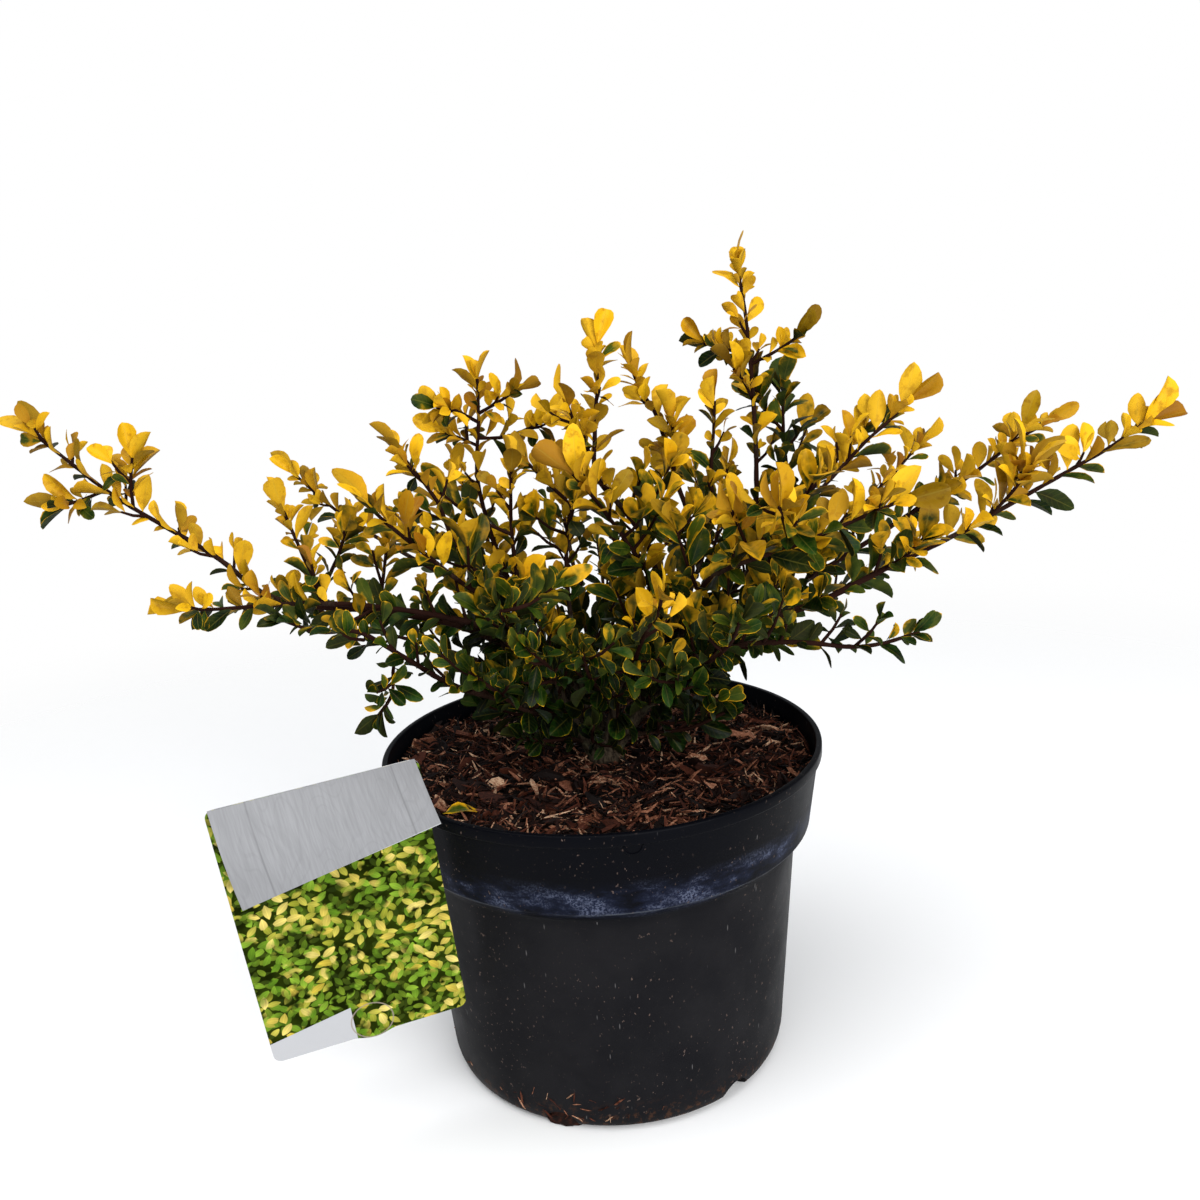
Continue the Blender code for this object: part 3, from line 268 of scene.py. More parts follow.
LIMBS = (
    Limb("left_long", (CROWN, LEFT_FORK, LEFT_KNEE, (-62, -30, 240), (-103, -35, 252), (-137, -35, 257),
         (-157, -30, 264), (-177, -25, 281), (-223, -10, 308), (-252, 0, 330), (-266, 5, 341)), 88, 1.9,
         0.40, 20, (((-127, -35, 256), (-123, -28, 269), (-118, -27, 278), (-113, -26, 290)),
         ((-100, -34, 251), (-99, -24, 264), (-95, -23, 283)), ((-230, -7, 312), (-241, -8, 309),
         (-250, -9, 307)), ((-216, -12, 304), (-216, -11, 317), (-213, -12, 328))), 0),
    Limb("left_low", (LEFT_KNEE, LOW_LEFT_KNEE, (-48, -42, 241), (-63, -48, 249), (-87, -52, 256),
         (-114, -54, 261), (-141, -52, 262), (-168, -50, 261), (-187, -48, 261)), 30, 1.6, 0.55, 19,
         (((-120, -54, 261), (-128, -44, 274), (-134, -36, 286), (-140, -33, 303)),), 0),
    Limb("left_under", (LEFT_FORK, UNDER_KNEE, (-38, -35, 201), (-66, -52, 218), (-87, -64, 238),
         (-104, -70, 252), (-120, -72, 253), (-136, -72, 260)), 42, 1.5, None, 17, (((-89, -65, 240),
         (-91, -66, 231), (-92, -68, 221), (-99, -69, 212)),), 0),
    Limb("left_fork", (LOW_LEFT_KNEE, (-42, -33, 243), (-50, -39, 256), (-59, -45, 265), (-73, -50, 280),
         (-90, -55, 298), (-95, -58, 306)), 14, 1.3, 0.4, 22),
    Limb("left_mid", (LEFT_KNEE, (-38, -20, 235), (-48, -24, 255), (-58, -26, 272), (-64, -25, 281),
         (-70, -20, 299), (-81, -18, 316), (-87, -18, 325)), 30, 1.2, 0.0, 19),
    Limb("centre_left", (CROWN, MID_LEFT_FORK, INNER_LEFT_KNEE, (-44, 15, 256), (-52, 18, 287),
         (-54, 18, 308), (-51, 18, 333), (-50, 18, 353)), 82, 1.6, 0.12, 17, (((-51, 18, 332),
         (-62, 12, 339), (-70, 8, 341)), ((-51, 18, 336), (-39, 14, 342), (-31, 10, 347)), ((-53, 18, 320),
         (-62, 24, 324), (-71, 28, 327)), ((-52, 18, 324), (-41, 22, 323), (-31, 25, 325), (-17, 28, 330))),
         0),
    Limb("short_upright", (INNER_LEFT_KNEE, (-35, 2, 245), (-37, -5, 266), (-37, -6, 288), (-35, -6, 312)),
         28, 1.2, 0.0, 18),
    Limb("bent", (MID_LEFT_FORK, (-10, 2, 215), (-12, 0, 245), (-11, 0, 273), (-8, 0, 289), (-14, 2, 297),
         (-22, 5, 305), (-29, 8, 313)), 50, 1.2, 0.2, 18),
    Limb("centre", (CROWN, CENTRE_FORK, CENTRE_KNEE, (28, -9, 242), (32, -10, 262), (20, -8, 285),
         (6, -5, 304), (6, -3, 322), (8, 0, 341), (10, 2, 355), (10, 2, 366)), 104, 1.6, 0.35, 19, (), 1),
    Limb("centre_big", (CENTRE_KNEE, (25, -16, 238), (28, -22, 256), (20, -30, 273), (6, -35, 296),
         (-5, -38, 311)), 20, 1.2, 0.2, 23),
    Limb("centre_right", (CROWN, RIGHT_FORK, (38, 14, 212), UPPER_RIGHT_KNEE, (52, 22, 275), (47, 24, 293),
         (43, 25, 311), (37, 26, 331), (30, 27, 343), (27, 28, 352)), 112, 1.6, 0.45, 20, (((47, 25, 300),
         (46, 19, 313), (45, 16, 325)),), 0),
    Limb("small_up", (UPPER_RIGHT_KNEE, (59, 25, 256), (65, 30, 275), (65, 30, 299), (67, 30, 319),
         (68, 30, 334)), 14, 1.1, 0.0, 18),
    Limb("tallest", (CROWN, BACK_RIGHT_FORK, BACK_RIGHT_KNEE, TALL_KNEE, (87, 40, 270), (90, 42, 296),
         (90, 44, 322), (89, 46, 350), (87, 48, 378), (84, 50, 399)), 118, 1.7, 0.42, 19, (((89, 46, 350),
         (99, 42, 355), (106, 39, 359), (113, 36, 364)), ((89, 46, 354), (82, 50, 357), (74, 53, 359),
         (66, 56, 362)), ((90, 45, 332), (84, 40, 343), (79, 37, 349))), 0),
    Limb("dark_up", (TALL_KNEE, (86, 46, 240), (101, 55, 258), (108, 55, 282), (107, 56, 314),
         (107, 57, 337)), 26, 1.3, None, 22, (), 1),
    Limb("right_long", (CROWN, LOW_RIGHT_FORK, RIGHT_KNEE, (51, -20, 218), (80, -25, 232), (109, -30, 242),
         (142, -30, 257), (170, -30, 269), (203, -28, 285), (230, -25, 298), (246, -24, 306),
         (264, -22, 317)), 92, 1.9, 0.52, 21, (((204, -28, 285), (202, -32, 295), (201, -34, 303)),), 1),
    Limb("right_upper", (RIGHT_KNEE, (60, -8, 216), SIDE_RIGHT_KNEE, (129, 20, 250), (154, 25, 263),
         (176, 30, 275), (194, 32, 284), (208, 35, 292), (222, 38, 302), (243, 40, 312)), 66, 1.6, 0.6, 20,
         (), 1),
    Limb("right_up_a", (SIDE_RIGHT_KNEE, (87, -3, 250), (94, -6, 270), (107, -5, 284), (125, 0, 300),
         (139, 3, 313), (151, 5, 322), (159, 6, 330)), 18, 1.3, 0.4, 21),
    Limb("right_up_b", (TALL_KNEE, (79, 23, 243), (92, 12, 262), (108, 15, 282), (124, 18, 298),
         (134, 20, 309), (144, 22, 318)), 26, 1.2, 0.2, 19),
    Limb("right_front", (RIGHT_KNEE, (40, -22, 221), (46, -32, 242), (55, -42, 259), (71, -50, 268),
         (95, -55, 276), (117, -58, 285), (137, -60, 293)), 30, 1.4, 0.3, 22, (((74, -51, 269),
         (69, -62, 281), (62, -78, 297)), ((91, -54, 275), (87, -67, 284), (81, -86, 299))), 0),
    Limb("right_low", (LOW_RIGHT_FORK, FRONT_RIGHT_FORK, FRONT_RIGHT_KNEE, (66, -60, 232), (91, -75, 236),
         (112, -80, 234), (127, -80, 235), (142, -80, 239)), 64, 1.4, None, 17),
    Limb("front_right_shoot", (CENTRE_FORK, (14, -26, 205), (18, -56, 226), (22, -86, 247), (27, -110, 263),
         (28, -119, 271)), 24, 1.3, 0.72, 20),
    Limb("front_centre", (CENTRE_FORK, (2, -30, 203), (-3, -60, 221), (-5, -88, 241)), 18, 1.1, None, 19),
    Limb("front_right_mid", (FRONT_RIGHT_FORK, (34, -42, 206), (36, -66, 216), (35, -88, 231)), 12, 1.1,
         None, 19),
    Limb("front_low_right", (FRONT_RIGHT_KNEE, (51, -64, 226), (58, -88, 241), (60, -108, 256)), 12, 1.1,
         None, 19),
    Limb("front_left_shoot", (LEFT_FORK, FRONT_KNEE, (-32, -60, 233), (-37, -84, 254), (-38, -99, 266)), 40,
         1.3, None, 20, (((-38, -97, 264), (-27, -97, 266), (-14, -95, 273)),), 0),
    Limb("front_low_left", (UNDER_KNEE, (-36, -50, 204), (-46, -68, 220), (-54, -88, 236)), 12, 1.1, None,
         18),
    Limb("front_mid", (FRONT_KNEE, (-19, -60, 222), (-23, -84, 238), (-29, -98, 248)), 12, 1.1, None, 18),
    Limb("foot_left", (CROWN, (-10, -13, 172), (-27, -34, 181), (-38, -48, 189)), 26, 1.0, None, 15),
    Limb("foot_front", (CROWN, (-2, -16, 171), (-4, -40, 182), (-3, -54, 195)), 30, 1.0, None, 15),
    Limb("foot_right", (CROWN, (14, -13, 172), (42, -32, 182), (60, -42, 193)), 36, 1.0, None, 15),
    Limb("back_left_long", (CROWN, BACK_LEFT_FORK, BACK_LEFT_KNEE, (-66, 62, 234), (-104, 86, 252),
         (-142, 104, 274), (-172, 116, 300)), 84, 1.7, 0.5, 19),
    Limb("back_left_low", (BACK_LEFT_FORK, (-42, 20, 198), (-82, 30, 212), (-122, 38, 224),
         (-160, 42, 240)), 34, 1.4, None, 18),
    Limb("back_left_up", (BACK_LEFT_KNEE, (-46, 52, 240), (-60, 68, 272), (-72, 78, 302)), 20, 1.2, 0.0,
         18),
    Limb("back_mid", (CROWN, BACK_FORK, (-4, 44, 214), (-10, 72, 244), (-14, 96, 272), (-16, 112, 298)), 76,
         1.5, 0.45, 18),
    Limb("back_mid_right", (BACK_FORK, (16, 46, 210), (28, 78, 238), (38, 106, 264), (46, 124, 292)), 36,
         1.4, 0.4, 18),
    Limb("back_mid_low", (BACK_FORK, (4, 52, 198), (6, 90, 212), (6, 124, 226), (4, 152, 243)), 36, 1.3,
         None, 18),
    Limb("back_right_up", (BACK_RIGHT_KNEE, (62, 54, 234), (74, 80, 262), (82, 100, 292)), 24, 1.3, 0.0,
         18),
    Limb("back_right_long", (BACK_RIGHT_FORK, OUTER_RIGHT_KNEE, (90, 64, 224), (130, 88, 244),
         (168, 106, 268), (198, 118, 294)), 44, 1.6, 0.5, 19),
    Limb("back_right_low", (OUTER_RIGHT_KNEE, (88, 42, 212), (126, 48, 222), (160, 52, 236)), 16, 1.3, None,
         18),
)


# Small helpers for meshes and node trees


def held(value, low, high):
    return min(high, max(low, value))


def evaluated_mesh(item):
    """A plain mesh of what the object looks like with its modifiers."""
    bpy.context.view_layer.update()
    graph = bpy.context.evaluated_depsgraph_get()
    return bpy.data.meshes.new_from_object(item.evaluated_get(graph))


def new_object(name, data):
    made = bpy.data.objects.new(name, data)
    bpy.context.scene.collection.objects.link(made)
    return made


def object_of(name, shape):
    mesh = bpy.data.meshes.new(name)
    shape.to_mesh(mesh)
    shape.free()
    return new_object(name, mesh)


def shape_of(item):
    shape = bmesh.new()
    shape.from_mesh(item.data)
    return shape


def remove(item):
    bpy.data.objects.remove(item, do_unlink=True)


def skin(shape, rings):
    """Closes a row of rings of corners into a solid."""
    faces = [shape.faces.new((ring[side - 1], ring[side], after[side], after[side - 1]))
             for ring, after in zip(rings, rings[1:]) for side in range(len(ring))]
    faces += [shape.faces.new(rings[0]), shape.faces.new(rings[-1])]
    bmesh.ops.recalc_face_normals(shape, faces=faces)


def standing(angle, radius, height):
    """The matrix that turns a thing round the pot's axis and puts it at a radius and a height."""
    return Matrix.Rotation(angle, 4, "Z") @ Matrix.Translation((radius, 0, height))


def apply_modifiers(item):
    mesh = evaluated_mesh(item)
    item.modifiers.clear()
    item.data = mesh


def drop_empty_slots(mesh):
    """Joined shapes leave slots that hold no finish."""
    used = [number for number, finish in enumerate(mesh.materials) if finish]
    finishes = [mesh.materials[number] for number in used]
    places = np.zeros(len(mesh.polygons), int)
    mesh.polygons.foreach_get("material_index", places)
    moved = np.array([used.index(number) if number in used else 0 for number in range(len(mesh.materials))])
    mesh.materials.clear()
    for finish in finishes:
        mesh.materials.append(finish)
    mesh.polygons.foreach_set("material_index", moved[places])


def settle(item, slot, *nodes):
    """Puts a finished piece on the root body, and hides the solids that it stands for. Its slot is not used.
    """
    item.data.name = item.name
    drop_empty_slots(item.data)
    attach(item, "root")
    if nodes:
        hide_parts(*nodes)
    return item


def sums(operation, swapped=False):
    """A method that joins a wire with another value in one maths node."""

    def work(wire, other=0.0):
        pair = (other, wire) if swapped else (wire, other)
        return wire.graph.math(operation, *pair)

    return work


class Wire:
    """A node with one of its outputs chosen, which takes part in plain sums."""

    def __init__(self, graph, node, name=0):
        self.graph = graph
        self.node = node
        self.name = name

    def __getitem__(self, name):
        return Wire(self.graph, self.node, name)

    __add__ = sums("ADD")
    __sub__ = sums("SUBTRACT")
    __rsub__ = sums("SUBTRACT", swapped=True)
    __mul__ = sums("MULTIPLY")
    __truediv__ = sums("DIVIDE")
    __lt__ = sums("LESS_THAN")
    __gt__ = sums("GREATER_THAN")
    __abs__ = sums("ABSOLUTE")


class Graph:
    """Adds nodes to a tree and joins them. Its end is the node that takes the finished values."""

    def __init__(self, tree, end, made):
        self.tree = tree
        self.end = end
        self.made = made

    def feed(self, node, values):
        """Links each wire to its input and sets every other value. A colour goes without its alpha."""
        for name, value in values.items():
            target = node.inputs[name]
            if isinstance(value, Wire):
                self.tree.links.new(value.node.outputs[value.name], target)
            else:
                target.default_value = (*value, 1) if target.type == "RGBA" else value

    def close(self, values):
        """Joins the finished values to the end. Returns the node group or the material."""
        self.feed(self.end, values)
        return self.made

    def node(self, kind, inputs=None, **settings):
        made = self.tree.nodes.new(kind)
        for name, value in settings.items():
            setattr(made, name, value)
        self.feed(made, inputs or {})
        return Wire(self, made)

    def math(self, operation, first, second=0.0, clamp=False):
        return self.node("ShaderNodeMath", {0: first, 1: second}, operation=operation, use_clamp=clamp)

    def vector(self, operation, first, second=(0, 0, 0)):
        made = self.node("ShaderNodeVectorMath", {0: first, 1: second}, operation=operation)
        return made["Value"] if operation in ("LENGTH", "DISTANCE") else made

    def scaled(self, place, size):
        return self.node("ShaderNodeVectorMath", {0: place, "Scale": size}, operation="SCALE")

    def parts(self, place):
        return self.node("ShaderNodeSeparateXYZ", {0: place})

    def object_place(self):
        return self.node("ShaderNodeTexCoord")["Object"]

    def attribute(self, name, output="Fac"):
        return self.node("ShaderNodeAttribute", attribute_name=name)[output]

    def named(self, name, kind):
        return self.node("GeometryNodeInputNamedAttribute", {"Name": name}, data_type=kind)["Attribute"]

    def ramp(self, value, low, high, top=1.0, bottom=0.0):
        """A smooth step from one value to another."""
        inputs = {"Value": value, "From Min": low, "From Max": high, "To Min": bottom, "To Max": top}
        return self.node("ShaderNodeMapRange", inputs, interpolation_type="SMOOTHSTEP")["Result"]

    def noise(self, place, scale, detail=2.0, roughness=0.5):
        inputs = {"Vector": place, "Scale": scale, "Detail": detail, "Roughness": roughness}
        return self.node("ShaderNodeTexNoise", inputs)["Fac"]

    def stretched(self, place, scale, turn=(0, 0, 0)):
        return self.node("ShaderNodeMapping", {"Vector": place, "Rotation": turn, "Scale": scale})

    def mix(self, share, first, second, blend="MIX"):
        inputs = {0: share, 6: first, 7: second}
        return self.node("ShaderNodeMix", inputs, data_type="RGBA", blend_type=blend)[2]

    def layered(self, colour, *layers):
        """A colour with others laid over it in turn, each by its own share."""
        for share, over in layers:
            colour = self.mix(share, colour, over)
        return colour

    def colours(self, value, stops):
        made = self.node("ShaderNodeValToRGB", {"Fac": value})
        band = made.node.color_ramp.elements
        for element, (place, colour) in ((band[0], stops[0]), (band[1], stops[-1])):
            element.position = place
            element.color = (*colour, 1)
        for place, colour in stops[1:-1]:
            band.new(place).color = (*colour, 1)
        return made["Color"]

    def bump(self, height, strength, distance):
        return self.node("ShaderNodeBump", {"Height": height, "Strength": strength, "Distance": distance})

    def group(self, tree, inputs):
        return self.node(tree.bl_idname.replace("Tree", "Group"), inputs, node_tree=tree)

    def picked(self, points, shapes, **inputs):
        """Shapes of a collection, one on each point."""
        held = self.node("GeometryNodeCollectionInfo", {
            "Collection": shapes, "Separate Children": True, "Reset Children": True})
        inputs = {name.replace("_", " "): value for name, value in inputs.items()}
        return self.node("GeometryNodeInstanceOnPoints", {
            "Points": points, "Instance": held, "Pick Instance": True, **inputs})

    def finished(self, geometry, finish):
        return self.node("GeometryNodeSetMaterial", {"Geometry": geometry, "Material": finish})


def new_tree(name, kind, inputs, outputs):
    """A node group with named sockets. Returns its graph and its inputs by name."""
    tree = bpy.data.node_groups.new(name, kind)
    for label, socket, default in inputs:
        made = tree.interface.new_socket(label, in_out="INPUT", socket_type="NodeSocket" + socket)
        if default is not None:
            made.default_value = default
    for label, socket in outputs:
        tree.interface.new_socket(label, in_out="OUTPUT", socket_type="NodeSocket" + socket)
    graph = Graph(tree, tree.nodes.new("NodeGroupOutput"), tree)
    return graph, graph.node("NodeGroupInput")


def new_material(name, colour, roughness, specular):
    """The graph of a new material, which ends in its Principled shader."""
    made = bpy.data.materials.new(name)
    made.use_nodes = True
    made.diffuse_color = (*colour, 1)
    graph = Graph(made.node_tree, made.node_tree.nodes["Principled BSDF"], made)
    graph.close({"Base Color": colour, "Roughness": roughness, "Specular IOR Level": specular})
    return graph


def toned(colour, share):
    """A lighter or darker tone of a colour."""
    return tuple(part * share for part in colour)


def node_modifier(item, tree, values):
    """A Geometry Nodes modifier whose inputs are set by their sockets' identifiers."""
    made = item.modifiers.new(tree.name, "NODES")
    made.node_group = tree
    for socket in tree.interface.items_tree:
        if socket.item_type == "SOCKET" and socket.in_out == "INPUT" and socket.name in values:
            made[socket.identifier] = values[socket.name]


# Growth: where every stem, twig and leaf stands, by the rules that the solids follow, and then the finer rest

Leaf = namedtuple("Leaf", "node root facing length width shape tone bronze")
Line = namedtuple("Line", "node points radii age")
Stretch = namedtuple("Stretch", "node line first tip golden sites limb start")


def curve_point(before, start, end, after, share):
    """A point between start and end on a Catmull-Rom curve."""
    out = (end - before) / 2
    back = (after - start) / 2
    square = share * share
    cube = square * share
    return (start * (2 * cube - 3 * square + 1) + out * (cube - 2 * square + share)
            + end * (3 * square - 2 * cube) + back * (cube - square))


def smooth(route):
    """A close path along the smooth curve through a route's points, which are in millimetres."""
    own = [Vector(point) * MM for point in route]
    ends = [own[0] * 2 - own[1]] + own + [own[-1] * 2 - own[-2]]
    points = [own[0]]
    for before, start, end, after in zip(ends, ends[1:], ends[2:], ends[3:]):
        count = max(1, round((end - start).length / CURVE_STEP))
        points += [curve_point(before, start, end, after, number / count) for number in range(1, count + 1)]
    return Path(points)


class Path:
    """A line through points, measured along its length."""

    def __init__(self, points):
        self.points = points
        self.reach = [0.0]
        for start, end in zip(points, points[1:]):
            self.reach.append(self.reach[-1] + (end - start).length)
        self.length = self.reach[-1]

    def at(self, distance):
        """The point and the direction at this distance along the path."""
        place = 1
        while place < len(self.reach) - 1 and self.reach[place] < distance:
            place += 1
        start, end = self.points[place - 1], self.points[place]
        run = end - start
        return start + run * ((distance - self.reach[place - 1]) / run.length), run.normalized()

    def piece(self, first, last, step):
        """A path through evenly spaced points, from one distance to another."""
        count = max(1, round((last - first) / step))
        return Path([self.at(first + (last - first) * number / count)[0] for number in range(count + 1)])

    def nearest(self, point):
        """The distance along the path of its closest place to a point."""
        tries = [self.length * number / NEAREST_TRIES for number in range(NEAREST_TRIES + 1)]
        return min(tries, key=lambda distance: (self.at(distance)[0] - point).length)


def tube_faces(points, first_radius, last_radius, roundness=0):
    """The points and faces of a tapering stem's plain shape, which leaves keep clear of."""
    curve = bpy.data.curves.new("guide", "CURVE")
    curve.dimensions = "3D"
    curve.bevel_depth = 1.0
    curve.bevel_resolution = roundness
    curve.use_fill_caps = True
    spline = curve.splines.new("POLY")
    spline.points.add(len(points) - 1)
    for number, point in enumerate(points):
        share = number / (len(points) - 1)
        spline.points[number].co = (*point, 1)
        spline.points[number].radius = first_radius + (last_radius - first_radius) * share
    guide = new_object("guide", curve)
    mesh = evaluated_mesh(guide)
    remove(guide)
    found = mesh_faces(mesh)
    bpy.data.meshes.remove(mesh)
    bpy.data.curves.remove(curve)
    return found


def mesh_faces(mesh):
    return [corner.co.copy() for corner in mesh.vertices], [tuple(face.vertices) for face in mesh.polygons]


BLADE_FACES = [(0, 1, 2), (2, 1, 3, 4), (5, 7, 6), (7, 9, 8, 6), (0, 5, 6, 1), (1, 6, 8, 3), (3, 8, 9, 4),
               (4, 9, 7, 2), (2, 7, 5, 0)]


def blade_faces(length, width, thickness, start, place):
    """A leaf's plain shape: pointed at its root, blunt at its end, and bent down from its widest place."""
    flat = [(0, 0, 0)]
    for half, along, drop in ((0.5, BLADE_WIDEST, BLADE_WIDEST_DROP), (BLADE_END_HALF, 1, BLADE_END_DROP)):
        flat += [(side * half * width, along * length, -drop * length) for side in (1, -1)]
    points = [place @ Vector((x, y + start, z + side * thickness / 2))
              for side in (1, -1) for x, y, z in flat]
    return points, BLADE_FACES


def leaf_place(root, along, upper):
    """The matrix that puts a blade's root at a point, pointing one way with its upper face turned another."""
    side = along.cross(upper).normalized()
    normal = side.cross(along)
    turn = Matrix((side, along, normal)).transposed()
    return Matrix.Translation(root) @ turn.to_4x4()


def radial(direction, angle):
    """A unit vector square to a stem, at an angle round it from its upper side."""
    guide = UP if abs(direction.z) < 0.9 else Vector((0, -1, 0))
    upper = (guide - direction * guide.dot(direction)).normalized()
    return Matrix.Rotation(angle, 3, direction) @ upper


class Neighbours:
    """What already has its place, so that a new leaf or twig can be bent clear of it."""

    def __init__(self, room=20000):
        self.low = np.zeros((room, 3))
        self.high = np.zeros((room, 3))
        self.owner = np.zeros(room, int)
        self.trees = []
        self.names = {}

    def number(self, node):
        return self.names.setdefault(node, len(self.names))

    def add(self, node, points, faces):
        place = len(self.trees)
        corners = np.array(points)
        self.low[place] = corners.min(0)
        self.high[place] = corners.max(0)
        self.owner[place] = self.number(node)
        self.trees.append(BVHTree.FromPolygons(points, faces))

    def touched(self, node, own, points, faces):
        """Whether a trial shape cuts a solid of its own node, or of any other."""
        count = len(self.trees)
        corners = np.array(points)
        near = (self.low[:count] <= corners.max(0)).all(1) & (self.high[:count] >= corners.min(0)).all(1)
        near &= (self.owner[:count] == self.number(node)) == own
        found = np.flatnonzero(near)
        if not len(found):
            return False
        tree = BVHTree.FromPolygons(points, faces)
        return any(tree.overlap(self.trees[other]) for other in found)


def leaf_is_clear(neighbours, node, length, width, place, margin=BLADE_MARGIN):
    for start, own in LEAF_TRIALS:
        trial = blade_faces(length - start + margin, width + 2 * margin, BLADE_THICKNESS + 2 * margin, start,
                            place)
        if neighbours.touched(node, own, *trial):
            return False
    return True


def place_leaf(site, length, node, neighbours, margin=BLADE_MARGIN):
    """A leaf's matrix at a site on a stem, turned about the stem until it is clear, or None."""
    root, direction, turn, opening, roll = site
    width = length * BLADE_WIDTH_SHARE
    level = direction.cross(UP)
    roll *= LEAF_ROLL + UPRIGHT_ROLL * (1 - level.length)
    for extra in TURNS_TO_TRY:
        out = radial(direction, turn + math.radians(extra))
        aside = out.dot(level)
        out = (out - level * aside * SPRAY_FLATNESS).normalized()
        along = (direction * math.cos(opening) + out * math.sin(opening) + UP * LEAF_RISE).normalized()
        upper = direction + UP * 0.5 + level * math.copysign(1.2, aside)
        place = leaf_place(root, along, Matrix.Rotation(roll, 3, along) @ upper)
        if leaf_is_clear(neighbours, node, length, width, place, margin):
            neighbours.add(node, *blade_faces(length, width, BLADE_THICKNESS, 0, place))
            return place
    return None


def leaf_sites(path, first, dice, with_tip):
    """Where leaves sit on a stem: distance, the site with its turn, opening and roll, and a size share."""
    distance = first
    turn = dice.uniform(0, math.tau)
    while distance < path.length - LEAF_EVERY * 0.3:
        point, direction = path.at(distance)
        spread = dice.uniform(-OPENING_SPREAD, OPENING_SPREAD)
        opening = math.radians(OPENING - OPENING_LOST * distance / path.length + spread)
        yield distance, (point, direction, turn, opening, dice.uniform(-1, 1)), dice.uniform(0.88, 1.1)
        distance += LEAF_EVERY * dice.uniform(0.88, 1.12)
        turn += GOLDEN_ANGLE
    for number in range(TIP_LEAVES if with_tip else 0):
        distance = path.length - 0.001 - TIP_LEAF_EVERY * number
        point, direction = path.at(distance)
        opening = math.radians(TIP_OPENING + TIP_OPENING_STEP * number + dice.uniform(-5, 5))
        yield distance, (point, direction, turn, opening, dice.uniform(-0.8, 0.8)), dice.uniform(0.95, 1.15)
        turn += GOLDEN_ANGLE


def twig_routes(path, dice):
    """Side twigs by rule: alternate, rising a little, in millimetres as the routes are."""
    distance = TWIG_EVERY * 0.45
    side = 1 if dice.random() < 0.5 else -1
    while distance < path.length - TWIG_EVERY * 0.35:
        point, direction = path.at(distance)
        out = radial(direction, side * math.radians(70 + dice.uniform(-25, 25)))
        length = dice.uniform(*TWIG_LENGTHS)
        run = (direction * 0.7 + out * 0.75 + UP * 0.25).normalized()
        bend = (run + direction * 0.2 + UP * 0.35).normalized()
        middle = point + run * length * 0.5
        yield tuple(tuple(place / MM) for place in (point, middle, middle + bend * length * 0.5))
        distance += TWIG_EVERY * dice.uniform(0.85, 1.15)
        side = -side


def twig_is_clear(neighbours, node, path):
    """Tests a twig's outer stretch against its own node, and all but its root against every other."""
    for start, own in TWIG_TRIALS:
        shape = bmesh.new()
        for number in range(6):
            point, direction = path.at(start + (path.length - start) * number / 5)
            turn = direction.to_track_quat("Z", "Y").to_matrix().to_4x4()
            bmesh.ops.create_cube(shape, size=3 * TWIG_RADIUS, matrix=Matrix.Translation(point) @ turn)
        shape.verts.index_update()
        points = [corner.co.copy() for corner in shape.verts]
        faces = [tuple(corner.index for corner in face.verts) for face in shape.faces]
        shape.free()
        if neighbours.touched(node, own, points, faces):
            return False
    return True


def sections(limb, path):
    """The leafy stretches of a limb: its name, first and last distance, and whether it is golden."""
    first = limb.bare * MM + STEM_GAP
    if limb.gold is None:
        return [(limb.name + "_green", first, path.length, False)]
    if limb.gold < 0.3:
        return [(limb.name + "_gold", first, path.length, True)]
    middle = first + (path.length - first) * limb.gold
    return [(limb.name + "_green", first, middle, False),
            (limb.name + "_gold", middle + STEM_GAP, path.length, True)]


def stem_radius(limb, path, distance):
    """Wood thickens towards the crown or the fork, and a leafy stem tapers to its tip."""
    bare = limb.bare * MM
    thick = limb.thick * MM
    if distance < bare:
        swelling = CROWN_SWELLING if limb.route[0] == CROWN else FORK_SWELLING
        return thick * (1 + swelling * (1 - distance / bare))
    return thick + (STEM_TIP_RADIUS - thick) * (distance - bare) / (path.length - bare)


